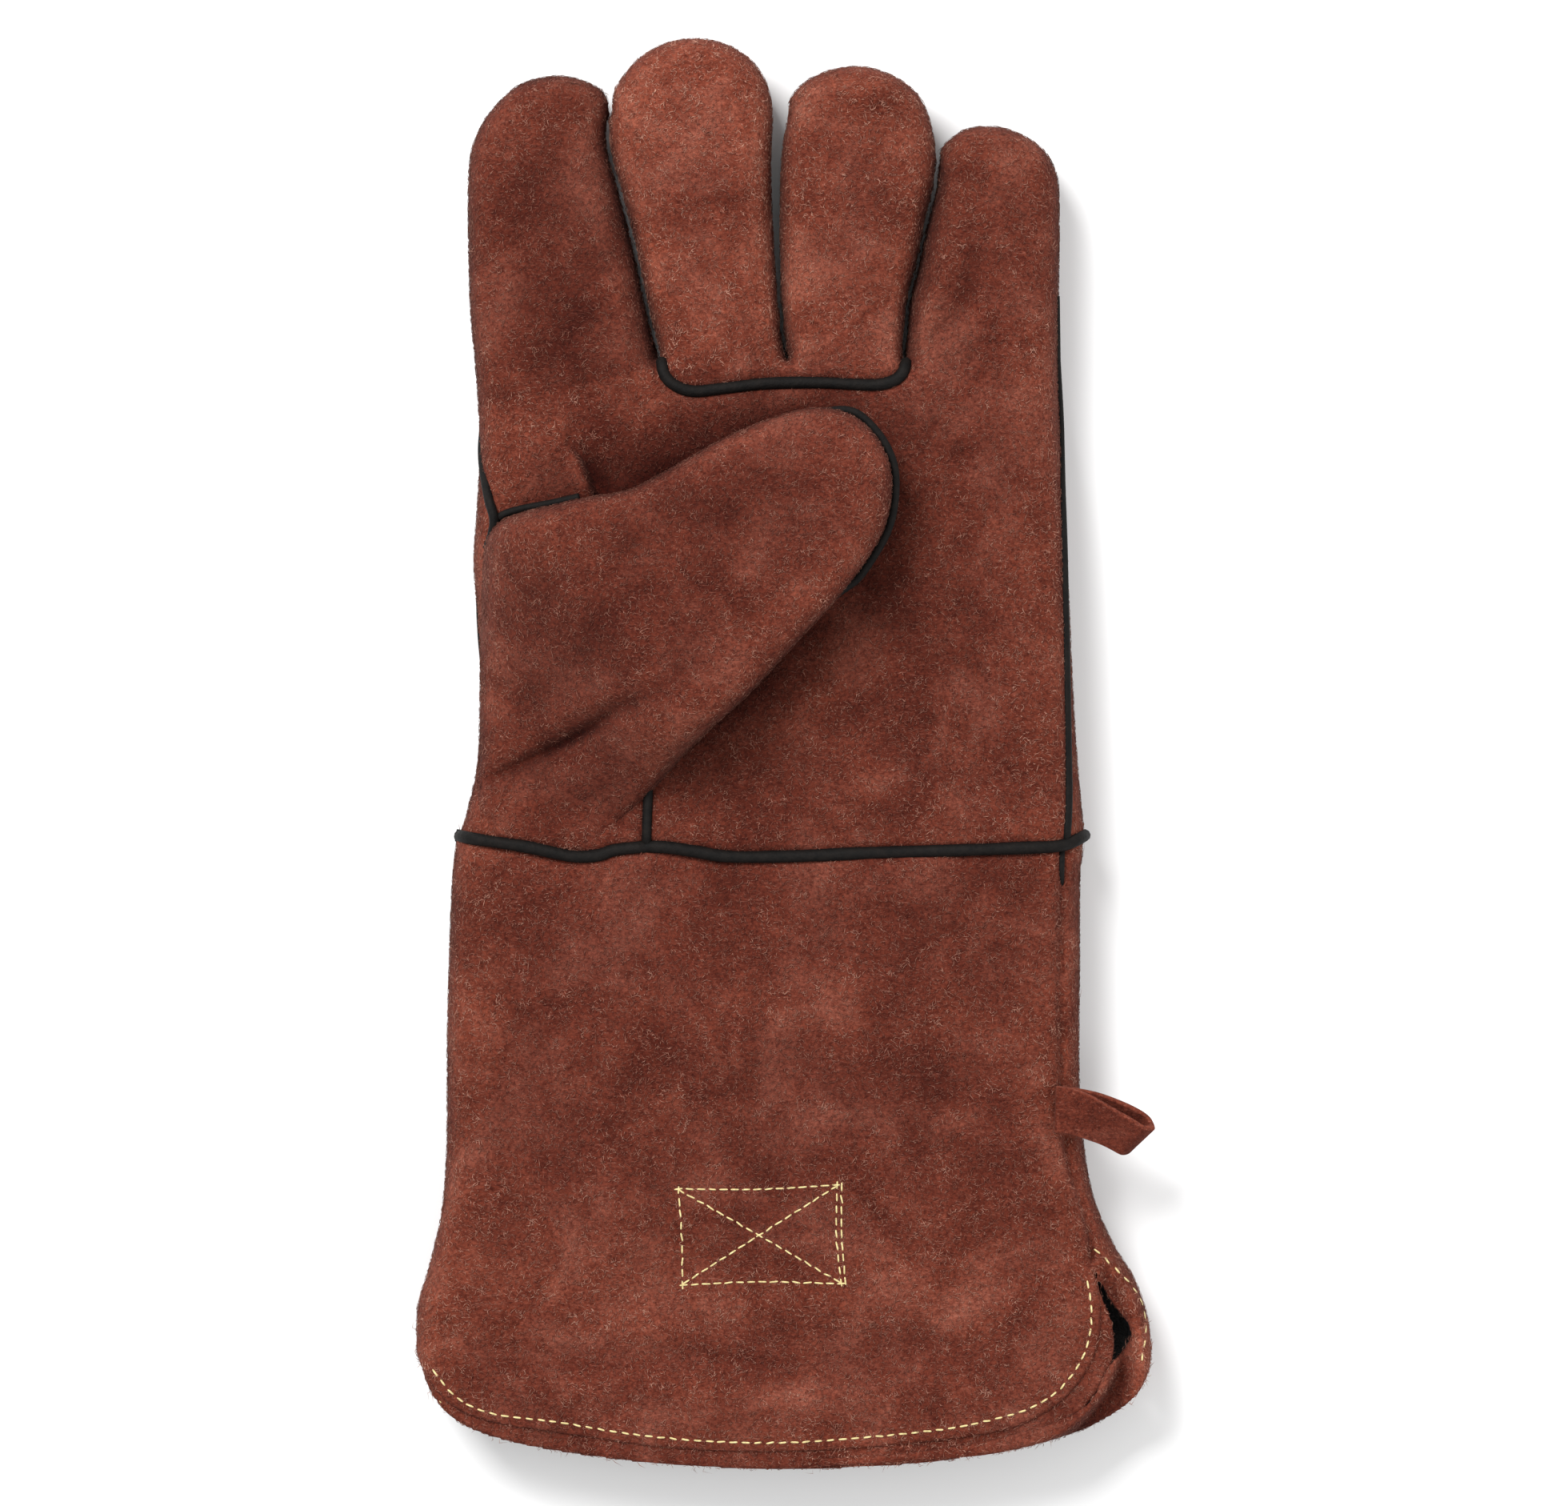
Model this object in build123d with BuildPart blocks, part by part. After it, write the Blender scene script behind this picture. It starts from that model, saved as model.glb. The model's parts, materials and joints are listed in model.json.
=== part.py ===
"""Left-hand heat resistant glove with a long gauntlet cuff, lying palm up on its back.

Frame: millimetres, +Z up out of the palm, +Y from the cuff towards the fingertips and +X towards
the little finger. The origin is the bottom centre of the whole glove.

The glove is a hollow shell of suede panels over a soft lining. A seam at mid height joins the
palm side to the back side, with a black leather welt caught in it. Every panel, welt, lining,
thread run and strip is a solid of its own. Fingers, thumb, cuff and loop are cut where they bend.
"""

import os
from math import asin, atan2, cos, degrees, hypot, sin

from build123d import *

# Leather, lining and seams
LEATHER = 1.8
LINING = 2.0
CUFF_LINING = 1.2
LAYER_GAP = 0.2
WELT = 1.4
WELT_PROUD = 1.1
FINGER_WELT_PROUD = 0.4
SEAM_LINE = 0.8
SEAM_PROUD = 0.3
THREAD = 0.7
BEND_GAP = 0.3

# Heights
HAND_TOP = 26.0
SEAM_Z = 12.0
RIM = 11.5
THUMB_LOW = 27.6
THUMB_TOP = 48.6
THUMB_RIM = 9.5
RUN_OUT = 17.0
RAMP_START_Y = -18.0
RAMP_RUN = 30.0
CLEAR_ABOVE = 60.0
SKIM = 0.02

# Plan positions, all on the rest pose
KNUCKLE_Y = 103.0
WRIST_Y = -22.2
INSERT_Y = 91.0
HEM_WIDTH = 6.0
HEM_LOW_Y = -175.0
HEM_SIDE = 96.0
HEM_CORNER_Y = -160.5
SLIT_TOP_Y = -123.0
SLIT_Z = SEAM_Z + 1.0

# Each finger: where its base starts and ends across the knuckle line, its round tip, and the
# direction that it points in.
FINGERS = {
    "index": {"base": ((-76.2, 93.3), (-33.5, KNUCKLE_Y)), "tip": (-60.6, 147.8), "radius": 17.0},
    "middle": {"base": ((-32.3, KNUCKLE_Y), (-1.5, KNUCKLE_Y)), "tip": (-23.0, 155.0), "radius": 20.0},
    "ring": {"base": ((-0.3, KNUCKLE_Y), (29.6, KNUCKLE_Y)), "tip": (18.9, 148.6), "radius": 19.0},
    "little": {"base": ((30.8, KNUCKLE_Y), (66.9, 95.3)), "tip": (53.0, 138.2), "radius": 14.6},
}
THUMB = {"base": ((-49.6, 60.3), (-13.6, 10.6)), "tip": (5.6, 62.0), "radius": 21.0}

# The seam that closes the gauntlet, from the wrist down to where the slit starts
CUFF_SEAM = ((67.8, -25.4), (67.8, -86.0), (70.8, -104.0), (74.6, -116.0), (74.9, -123.0))

LOOP_ROOT = (69.0, -87.5, 26.5)
LOOP_LENGTH = 19.4
LOOP_WIDTH = 11.4
LOOP_STRAP = 1.6
LOOP_BULGE = 9.0
LOOP_DROOP = -14.0

BOX_CENTRE = (-6.0, -117.6)
BOX_SIZE = (39.0, 24.0)


def tangent_point(start, centre, radius, side):
    """Where the line from start touches the circle, on its left (side 1) or right (side -1)."""
    dx, dy = centre[0] - start[0], centre[1] - start[1]
    reach = hypot(dx, dy)
    angle = atan2(dy, dx) + side * asin(radius / reach)
    run = (reach**2 - radius**2) ** 0.5
    return (start[0] + run * cos(angle), start[1] + run * sin(angle))


def backward(start, towards, distance):
    """The point that lies distance behind start, seen along the line to towards."""
    dx, dy = towards[0] - start[0], towards[1] - start[1]
    reach = hypot(dx, dy)
    return (start[0] - dx / reach * distance, start[1] - dy / reach * distance)


def digit_outline(digit):
    """The plan outline of a finger or thumb, run out past its base so that it can be cut there."""
    left, right = digit["base"]
    centre, radius = digit["tip"], digit["radius"]
    touch_left = tangent_point(left, centre, radius, 1)
    touch_right = tangent_point(right, centre, radius, -1)
    mid = ((left[0] + right[0]) / 2, (left[1] + right[1]) / 2)
    ahead = hypot(centre[0] - mid[0], centre[1] - mid[1])
    end = (
        centre[0] + (centre[0] - mid[0]) / ahead * radius,
        centre[1] + (centre[1] - mid[1]) / ahead * radius,
    )
    back_left = backward(left, touch_left, RUN_OUT)
    back_right = backward(right, touch_right, RUN_OUT)
    with BuildSketch() as outline:
        with BuildLine():
            Line(back_left, touch_left)
            ThreePointArc(touch_left, end, touch_right)
            Line(touch_right, back_right)
            Line(back_right, back_left)
        make_face()
        corners = outline.vertices().sort_by_distance(back_left)[:1]
        corners += outline.vertices().sort_by_distance(back_right)[:1]
        fillet(corners, RIM + 1)
    return outline.sketch


def grown(outline, amount):
    """The outline moved outwards by amount, or inwards if amount is negative."""
    with BuildSketch() as moved:
        add(outline)
        offset(amount=amount, kind=Kind.ARC if amount > 0 else Kind.INTERSECTION)
    return moved.sketch


def pillow(outline, low, high, rim):
    """A puffed solid: the outline made thick, with both rims rounded."""
    with BuildPart() as body:
        with BuildSketch(Plane.XY.offset(low)):
            add(outline)
        extrude(amount=high - low)
        rims = body.edges().group_by(Axis.Z)
        fillet(rims[0] + rims[-1], rim)
    return body.part


def puffed(outline, inset, low=0.0, high=HAND_TOP, rim=RIM):
    """The pillow that lies inset inside the glove's outer surface (a negative inset grows it)."""
    return pillow(grown(outline, -inset) if inset else outline, low + inset, high - inset, rim - inset)


def between(outer, inner):
    """The shell that is left of outer when inner is taken out."""
    with BuildPart() as shell:
        add(outer)
        add(inner, mode=Mode.SUBTRACT)
    return shell.part


def prism(outline, low, high):
    with BuildPart() as body:
        with BuildSketch(Plane.XY.offset(low)):
            add(outline)
        extrude(amount=high - low)
    return body.part


def common(first, *others):
    """What all the given solids share."""
    with BuildPart() as shared:
        add(first)
        for other in others:
            add(other, mode=Mode.INTERSECT)
    return shared.part


def without(first, *others):
    with BuildPart() as rest:
        add(first)
        for other in others:
            add(other, mode=Mode.SUBTRACT)
    return rest.part


def cut(solid, plane, keep=Keep.TOP):
    """The side of the solid that the plane's normal points to, or the other side."""
    with BuildPart() as kept:
        add(solid)
        split(bisect_by=plane, keep=keep)
    return kept.part


def palm_side(solid):
    return cut(solid, Plane.XY.offset(SEAM_Z + WELT / 2))


def back_side(solid):
    return cut(solid, Plane.XY.offset(SEAM_Z - WELT / 2), Keep.BOTTOM)


def seam_welt(outline, proud):
    """The welt caught in a seam that runs round the outline at mid height."""
    with BuildSketch() as strip:
        add(grown(outline, proud))
        add(grown(outline, -LEATHER), mode=Mode.SUBTRACT)
    return prism(strip.sketch, SEAM_Z - WELT / 2, SEAM_Z + WELT / 2)


def fold_plane(digit, gap=BEND_GAP):
    """The upright plane along a digit's base line, facing the tip, set gap towards the tip."""
    left, right = digit["base"]
    across = Vector(right[0] - left[0], right[1] - left[1]).normalized()
    ahead = Vector(-across.Y, across.X)
    start = Vector(*left) + ahead * gap
    return Plane(origin=(start.X, start.Y, 0), x_dir=(across.X, across.Y, 0), z_dir=(ahead.X, ahead.Y, 0))


def save(solid, name):
    solid.label = name
    export_step(solid, f"parts/{name}.step")
    print(name, round(solid.volume))


def polygon_sketch(points, corners=()):
    """A closed outline through the points. corners holds (point index, radius) pairs."""
    with BuildSketch() as outline:
        with BuildLine():
            Polyline(*points, close=True)
        make_face()
        for index, radius in corners:
            fillet(outline.vertices().sort_by_distance(points[index])[:1], radius)
    return outline.sketch


def hand_outline():
    """The palm in plan, run out past the knuckles and the wrist."""
    points = [
        (-83.0, -48.0), (-74.2, 0.0), (-74.2, 56.0), (-78.4, 124.0),
        (66.6, 124.0), (66.8, 92.0), (73.9, -48.0),
    ]  # fmt: skip
    return polygon_sketch(points, [(0, 13), (1, 60), (2, 80), (3, 13), (4, 13), (5, 80), (6, 13)])


def thenar_outline():
    """The swelling at the thumb's root in plan, run out past the thumb's fold."""
    points = [
        (-74.0, -12.0), (-74.0, 60.0), (-52.0, 61.0), (-24.0, 74.0), (6.0, 33.0), (-34.0, -16.5), (-66.0, -18.5),
    ]  # fmt: skip
    return polygon_sketch(points, [(0, 11), (1, 11), (2, 20), (3, 11), (4, 11), (5, 11), (6, 11)])


def thumb_panel_region():
    """The part of the palm side, in plan, that the thumb's own panel covers instead of the palm panel."""
    points = [(-95.0, -40.0), (-33.4, -40.0), (-34.4, 30.0), (-47.0, 59.6), (-66.0, 57.8), (-95.0, 52.0)]
    return polygon_sketch(points, [(3, 6)])


def insert_region():
    """The part of the palm side, in plan, that the panel of the two middle fingers covers."""
    points = [(-29.6, INSERT_Y), (28.6, INSERT_Y), (31.4, 130.0), (-34.8, 130.0)]
    return polygon_sketch(points, [(0, 7), (1, 7)])


def hand_trim():
    """The plan region that the hand keeps, from the wrist seam to the knuckle lines."""
    index_left = FINGERS["index"]["base"][0]
    index_right = FINGERS["index"]["base"][1]
    little_left, little_right = FINGERS["little"]["base"]
    index_slope = (index_right[1] - index_left[1]) / (index_right[0] - index_left[0])
    little_slope = (little_right[1] - little_left[1]) / (little_right[0] - little_left[0])
    edge = 100.0
    points = [
        (-edge, WRIST_Y),
        (edge, WRIST_Y),
        (edge, little_left[1] + (edge - little_left[0]) * little_slope),
        little_left,
        index_right,
        (-edge, index_right[1] - (edge + index_right[0]) * index_slope),
    ]
    return polygon_sketch(points)


def make_finger(name, digit):
    """One finger: a palm-side and a back-side panel, the welt between them and the lining."""
    outline = digit_outline(digit)
    plane = fold_plane(digit)
    outer, inner = puffed(outline, 0), puffed(outline, LEATHER)
    shell = cut(between(outer, inner), plane)
    under = LEATHER + LAYER_GAP
    lining = cut(between(puffed(outline, under), puffed(outline, under + LINING)), plane)
    save(palm_side(shell), f"{name}_finger_palm_panel")
    save(back_side(shell), f"{name}_finger_back_panel")
    save(cut(seam_welt(outline, FINGER_WELT_PROUD), plane), f"{name}_finger_welt")
    save(lining, f"{name}_finger_lining")


def make_thumb():
    """The free end of the thumb, lying over the palm."""
    outline = digit_outline(THUMB)
    plane = fold_plane(THUMB)
    middle = (THUMB_LOW + THUMB_TOP) / 2
    half_welt = WELT / 2

    def layer(inset):
        return puffed(outline, inset, THUMB_LOW, THUMB_TOP, THUMB_RIM)

    shell = cut(between(layer(0), layer(LEATHER)), plane)
    under = LEATHER + LAYER_GAP
    lining = cut(between(layer(under), layer(under + LINING)), plane)
    with BuildSketch() as strip:
        add(grown(outline, WELT_PROUD))
        add(grown(outline, -LEATHER), mode=Mode.SUBTRACT)
    welt = cut(prism(strip.sketch, middle - half_welt, middle + half_welt), plane)
    save(cut(shell, Plane.XY.offset(middle + half_welt)), "thumb_outer_panel")
    save(cut(shell, Plane.XY.offset(middle - half_welt), Keep.BOTTOM), "thumb_inner_panel")
    save(welt, "thumb_welt")
    save(lining, "thumb_lining")


def joined(*solids):
    with BuildPart() as whole:
        for solid in solids:
            add(solid)
    return whole.part


def slab(low, high):
    """A wide flat block between two heights."""
    with BuildPart() as block:
        with BuildSketch(Plane.XY.offset(low)):
            Rectangle(400, 400)
        extrude(amount=high - low)
    return block.part


def thenar(inset):
    """The swelling at the thumb's root, moved in by inset. Its top ramps up from the wrist."""
    rise = Vector(0, HAND_TOP - THUMB_TOP, RAMP_RUN).normalized()
    start = Vector(0, RAMP_START_Y, HAND_TOP) - rise * inset
    ramp = Plane(origin=(start.X, start.Y, start.Z), x_dir=(1, 0, 0), z_dir=(rise.X, rise.Y, rise.Z))
    return cut(puffed(thenar_outline(), inset, 0, THUMB_TOP), ramp, Keep.BOTTOM)


def thenar_hollow(inset):
    """The room inside the thumb's root. Above the palm it is all of the swelling. Lower down it
    is only the part where the thumb's own panel takes the palm panel's place."""
    further = inset - LEATHER
    region = thumb_panel_region()
    floor = HAND_TOP + further
    above = slab(floor, THUMB_TOP)
    below = prism(grown(region, -further) if further > 0 else region, 0, floor + 0.1)
    return common(thenar(inset), joined(above, below))


def make_hand():
    """The palm, the back of the hand and the thumb's root."""
    outline = hand_outline()
    trim = prism(hand_trim(), -1, CLEAR_ABOVE)
    past_fold = cut(slab(HAND_TOP + SKIM, CLEAR_ABOVE), fold_plane(THUMB, 0))

    def hollowed(inset):
        """The outer surface moved in by inset, the thumb's root with it."""
        root = thenar_hollow(inset) if inset else thenar(0)
        return joined(puffed(outline, inset), root)

    shell = without(common(between(hollowed(0), hollowed(LEATHER)), trim), past_fold)
    under = LEATHER + LAYER_GAP
    lining = without(common(between(hollowed(under), hollowed(under + LINING)), trim), past_fold)
    front = palm_side(shell)
    low_front = Plane.XY.offset(HAND_TOP + SKIM)
    flat_front = cut(front, low_front, Keep.BOTTOM)
    swelling = cut(front, low_front)

    thumb_area = thumb_panel_region()
    insert_area = insert_region()
    thumb_zone = prism(thumb_area, 0, HAND_TOP + 1)
    insert_zone = prism(insert_area, 0, HAND_TOP + 1)
    thumb_strip = without(prism(grown(thumb_area, WELT), 0, HAND_TOP + 1), thumb_zone)
    insert_strip = without(prism(grown(insert_area, WELT), 0, HAND_TOP + 1), insert_zone)

    save(without(flat_front, thumb_zone, insert_zone, thumb_strip, insert_strip), "palm_panel")
    save(joined(swelling, common(flat_front, thumb_zone)), "thumb_root_panel")
    save(common(flat_front, insert_zone), "middle_fingers_insert_panel")
    save(common(flat_front, thumb_strip), "thumb_root_welt")
    save(without(common(flat_front, insert_strip), thumb_zone), "finger_base_welt")
    save(back_side(shell), "back_panel")
    save(lining, "hand_lining")
    side_welts = common(seam_welt(outline, WELT_PROUD), trim)
    save(cut(side_welts, Plane.YZ, Keep.BOTTOM), "thumb_side_welt")
    save(cut(side_welts, Plane.YZ, Keep.TOP), "little_finger_side_welt")


def cuff_outline():
    """The gauntlet in plan, run out past the wrist and past the hem."""
    points = [
        (-79.6, 8.0), (-82.6, -50.0), (-82.8, -102.0), (-90.0, -138.0), (-90.0, -205.0),
        (89.6, -205.0), (89.6, -140.0), (73.0, -100.0), (72.6, 8.0),
    ]  # fmt: skip
    corners = [(0, 13), (1, 150), (2, 60), (3, 60), (4, 13), (5, 13), (6, 40), (7, 40), (8, 13)]
    return polygon_sketch(points, corners)


def back_hem():
    """The plan region above the hem on the back side: a shallow curve with round corners."""
    with BuildSketch() as region:
        with BuildLine():
            Line((-HEM_SIDE, 40), (-HEM_SIDE, HEM_CORNER_Y))
            ThreePointArc((-HEM_SIDE, HEM_CORNER_Y), (0, HEM_LOW_Y), (HEM_SIDE, HEM_CORNER_Y))
            Line((HEM_SIDE, HEM_CORNER_Y), (HEM_SIDE, 40))
            Line((HEM_SIDE, 40), (-HEM_SIDE, 40))
        make_face()
        fillet(region.vertices().group_by(Axis.Y)[0], 26)
    return region.sketch


def palm_hem(inset):
    """The plan region above the hem on the palm side, moved in by inset. Its corner at the slit
    is cut back and rounded, so that the slit stands open."""
    slit_x, corner_x, corner_y = 74.9, 80.6, -164.4
    with BuildSketch() as region:
        with BuildLine():
            ThreePointArc((-HEM_SIDE, HEM_CORNER_Y), (0, HEM_LOW_Y), (corner_x, corner_y))
            Polyline((corner_x, corner_y), (corner_x, -139.0), (slit_x, SLIT_TOP_Y), (slit_x, 40),
                     (-HEM_SIDE, 40), (-HEM_SIDE, HEM_CORNER_Y))
        make_face()
        fillet(region.vertices().sort_by_distance((-HEM_SIDE, HEM_CORNER_Y))[:1], 26)
        fillet(region.vertices().sort_by_distance((corner_x, corner_y))[:1], 18)
        fillet(region.vertices().sort_by_distance((corner_x, -139.0))[:1], 10)
    with BuildSketch() as whole:
        add(grown(region.sketch, -inset) if inset else region.sketch)
        with Locations((0, SLIT_TOP_Y)):
            Rectangle(2 * HEM_SIDE, 163, align=(Align.CENTER, Align.MIN))
    return whole.sketch


def hem_zone(inset):
    """The room above the hem on both sides, moved in by inset."""
    back = back_hem()
    lower = prism(grown(back, -inset) if inset else back, -2, SLIT_Z)
    return joined(lower, prism(palm_hem(inset), SLIT_Z, HAND_TOP + 2))


def cuff_seam_line():
    """The narrow plan strip of the seam that closes the gauntlet."""
    left = [(x - SEAM_LINE / 2, y) for x, y in CUFF_SEAM]
    right = [(x + SEAM_LINE / 2, y) for x, y in reversed(CUFF_SEAM)]
    return polygon_sketch(left + right)


def make_cuff():
    """The gauntlet with its lining, welts, hem and sewing."""
    outline = cuff_outline()
    start = WRIST_Y - BEND_GAP - WELT
    wrist = Plane(origin=(0, start, 0), x_dir=(1, 0, 0), z_dir=(0, -1, 0))
    shell = cut(between(puffed(outline, 0), puffed(outline, LEATHER)), wrist)
    seam = prism(cuff_seam_line(), SLIT_Z, HAND_TOP + 2)
    panel_zone = hem_zone(HEM_WIDTH)
    save(without(common(shell, panel_zone), seam), "gauntlet_panel")
    save(without(common(shell, hem_zone(0)), panel_zone), "hem_band")
    save(common(between(puffed(outline, -SEAM_PROUD), puffed(outline, LEATHER)), seam), "gauntlet_side_welt")

    under = LEATHER + LAYER_GAP
    lining = between(puffed(outline, under), puffed(outline, under + CUFF_LINING))
    save(common(cut(lining, wrist), hem_zone(HEM_WIDTH + 1)), "gauntlet_lining")

    ring = cut(between(puffed(outline, -WELT_PROUD), puffed(outline, LEATHER)), Plane.XY)
    wrist_top = Plane(origin=(0, start + WELT, 0), x_dir=(1, 0, 0), z_dir=(0, -1, 0))
    save(cut(cut(ring, wrist_top), wrist, Keep.BOTTOM), "wrist_welt")

    thread_skin = cut(between(puffed(outline, -THREAD / 2), puffed(outline, 0)), Plane.XY)
    below_slit = Plane(origin=(0, SLIT_TOP_Y - 1, 0), x_dir=(1, 0, 0), z_dir=(0, -1, 0))
    for name, inset in (("hem_stitching", HEM_WIDTH + 2.4), ("hem_second_stitching", HEM_WIDTH - 1.5)):
        row = without(hem_zone(inset), hem_zone(inset + THREAD))
        save(cut(common(thread_skin, row), below_slit), name)
    make_box_stitching()


def make_box_stitching():
    """A stitched rectangle with crossed diagonals, and the small patch that it holds inside."""
    width, height = BOX_SIZE
    with BuildPart() as stitching:
        with BuildSketch(Plane.XY.offset(HAND_TOP)):
            with Locations(BOX_CENTRE):
                Rectangle(width, height)
                Rectangle(width - 2 * THREAD, height - 2 * THREAD, mode=Mode.SUBTRACT)
                for turn in (1, -1):
                    diagonal = degrees(atan2(height, width)) * turn
                    Rectangle(hypot(width, height) - 3 * THREAD, THREAD, rotation=diagonal)
        extrude(amount=THREAD / 2)
    save(stitching.part, "box_stitching")
    with BuildPart() as patch:
        under = HAND_TOP - LEATHER - LAYER_GAP - CUFF_LINING
        with BuildSketch(Plane.XY.offset(under)):
            with Locations(BOX_CENTRE):
                RectangleRounded(width + 8, height + 8, 4)
        extrude(amount=-LEATHER)
    save(patch.part, "box_patch")


def make_loop():
    """The hanging loop: a strap folded on itself, with both ends caught in the cuff's seam."""
    with BuildPart() as loop:
        with BuildSketch(Plane.XZ):
            with BuildLine():
                loop_profile(0)
            make_face()
            with BuildLine():
                loop_profile(LOOP_STRAP)
            make_face(mode=Mode.SUBTRACT)
        extrude(amount=LOOP_WIDTH / 2, both=True)
    turned = loop.part.rotate(Axis.Z, LOOP_DROOP).moved(Location(LOOP_ROOT))
    save(cut(turned, Plane.YZ.offset(LOOP_ROOT[0])), "hanging_loop")


def loop_profile(inset):
    """A drop shape from the root to the round end, moved in by inset."""
    half = LOOP_BULGE / 2 - inset
    root = LOOP_STRAP - inset * 0.98
    start = inset * 3 - 3
    neck = LOOP_LENGTH - LOOP_BULGE / 2
    shoulder = LOOP_LENGTH * 0.45
    Spline((start, root), (shoulder, half), (neck, half), tangents=((1, 0), (1, 0)))
    ThreePointArc((neck, half), (neck + half, 0), (neck, -half))
    Spline((neck, -half), (shoulder, -half), (start, -root), tangents=((-1, 0), (-1, 0)))
    Line((start, -root), (start, root))


os.makedirs("parts", exist_ok=True)
for finger_name, finger in FINGERS.items():
    make_finger(finger_name, finger)
make_thumb()
make_hand()
make_cuff()
make_loop()
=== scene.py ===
"""Looks of the left-hand heat resistant glove, lying palm up.

The leather shells are level surfaces of smooth height fields, meshed as closed skins and cut into
the glove's panels. Welts, sewing, the hanging loop and loose fibres are built on those surfaces.
Lengths are in millimetres of a glove 350 mm long. MM turns them into metres at the frame's size.
"""

import json
import math

import bpy
import numpy as np
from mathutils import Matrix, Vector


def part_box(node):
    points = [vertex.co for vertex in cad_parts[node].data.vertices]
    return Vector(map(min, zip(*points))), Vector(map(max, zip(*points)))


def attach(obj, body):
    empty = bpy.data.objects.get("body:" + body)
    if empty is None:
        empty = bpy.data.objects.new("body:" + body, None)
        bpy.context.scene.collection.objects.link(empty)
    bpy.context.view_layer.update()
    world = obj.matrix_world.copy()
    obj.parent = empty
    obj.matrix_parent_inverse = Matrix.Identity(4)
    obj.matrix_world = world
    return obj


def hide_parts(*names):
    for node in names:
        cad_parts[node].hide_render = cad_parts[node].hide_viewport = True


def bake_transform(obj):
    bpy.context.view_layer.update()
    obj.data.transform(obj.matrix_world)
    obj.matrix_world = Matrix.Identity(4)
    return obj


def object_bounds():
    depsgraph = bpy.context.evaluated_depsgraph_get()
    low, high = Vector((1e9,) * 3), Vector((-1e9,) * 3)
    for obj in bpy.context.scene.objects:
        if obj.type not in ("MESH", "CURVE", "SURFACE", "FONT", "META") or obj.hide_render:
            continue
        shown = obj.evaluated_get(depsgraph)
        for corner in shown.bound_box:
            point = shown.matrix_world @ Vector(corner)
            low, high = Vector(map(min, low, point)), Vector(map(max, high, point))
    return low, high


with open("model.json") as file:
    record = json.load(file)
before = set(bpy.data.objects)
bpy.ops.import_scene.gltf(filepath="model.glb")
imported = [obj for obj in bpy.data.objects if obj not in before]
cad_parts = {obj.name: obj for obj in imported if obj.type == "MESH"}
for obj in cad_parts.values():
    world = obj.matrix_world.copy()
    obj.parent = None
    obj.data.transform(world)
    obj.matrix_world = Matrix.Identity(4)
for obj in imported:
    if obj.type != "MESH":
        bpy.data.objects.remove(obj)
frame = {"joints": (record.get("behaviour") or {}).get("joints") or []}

import openvdb
from mathutils import Vector

CAD_LOW, CAD_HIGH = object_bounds()
NOMINAL_LENGTH = 350.4
MM = (CAD_HIGH.y - CAD_LOW.y) / NOMINAL_LENGTH
JOINTS = {j["name"]: j for j in frame["joints"]}

# Heights come from the frame
HAND_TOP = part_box("palm_panel")[1].z / MM
HAND_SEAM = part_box("back_panel")[1].z / MM + 0.7
THUMB_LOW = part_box("thumb_inner_panel")[0].z / MM
THUMB_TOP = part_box("thumb_outer_panel")[1].z / MM
CUFF_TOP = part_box("gauntlet_panel")[1].z / MM

LEATHER = 1.9
VOXEL = 0.7
CUFF_VOXEL = 0.78

# How far the grids reach above the shapes
HEADROOM = 4.2

# A fleece's sheet: how deep its middle lies, and half its thickness
HAND_FLEECE = (3.6, 1.4)
CUFF_FLEECE = (4.6, 1.6)

FINGERS = ("index", "middle", "ring", "little")


# ---------------------------------------------------------------- curves and plan maps


def smooth(points, closed=False, spacing=1.2):
    """A Catmull-Rom curve through the points, as evenly dense points."""
    p = np.array(points, float)
    n = len(p)
    spans = n if closed else n - 1
    out = []
    for i in range(spans):
        if closed:
            a, b, c, d = p[(i - 1) % n], p[i], p[(i + 1) % n], p[(i + 2) % n]
        else:
            b, c = p[i], p[i + 1]
            a = p[i - 1] if i > 0 else 2 * b - c
            d = p[i + 2] if i + 2 < n else 2 * c - b
        steps = max(2, int(np.linalg.norm(c - b) / spacing))
        t = (np.arange(steps) / steps)[:, None]
        square = (2 * a - 5 * b + 4 * c - d) * t**2
        out.append(0.5 * (2 * b + (c - a) * t + square + (3 * b - a - 3 * c + d) * t**3))
    if not closed:
        out.append(p[-1:])
    return np.concatenate(out)


def even(path, spacing):
    """The path's points again, the same distance apart."""
    path = np.array(path, float)
    steps = np.linalg.norm(np.diff(path, axis=0), axis=1)
    along = np.concatenate([[0], np.cumsum(steps)])
    count = max(2, int(round(along[-1] / spacing)) + 1)
    at = np.linspace(0, along[-1], count)
    return np.stack([np.interp(at, along, path[:, k]) for k in range(path.shape[1])], 1)


class Plan:
    """A regular grid seen from above, on which the height fields are drawn."""

    def __init__(self, low, high, step=VOXEL):
        self.step = step
        self.low = np.array(low, float)
        self.count = (np.ceil((np.array(high) - self.low) / step)).astype(int) + 1
        x = self.low[0] + step * np.arange(self.count[0])
        y = self.low[1] + step * np.arange(self.count[1])
        self.x, self.y = np.meshgrid(x, y, indexing="ij")

    def at(self, field, x, y):
        """The map's values at scattered points."""
        u = np.clip((np.asarray(x) - self.low[0]) / self.step, 0, self.count[0] - 1.001)
        v = np.clip((np.asarray(y) - self.low[1]) / self.step, 0, self.count[1] - 1.001)
        i, j = u.astype(int), v.astype(int)
        fu, fv = u - i, v - j
        return (
            field[i, j] * (1 - fu) * (1 - fv)
            + field[i + 1, j] * fu * (1 - fv)
            + field[i, j + 1] * (1 - fu) * fv
            + field[i + 1, j + 1] * fu * fv
        )


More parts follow.
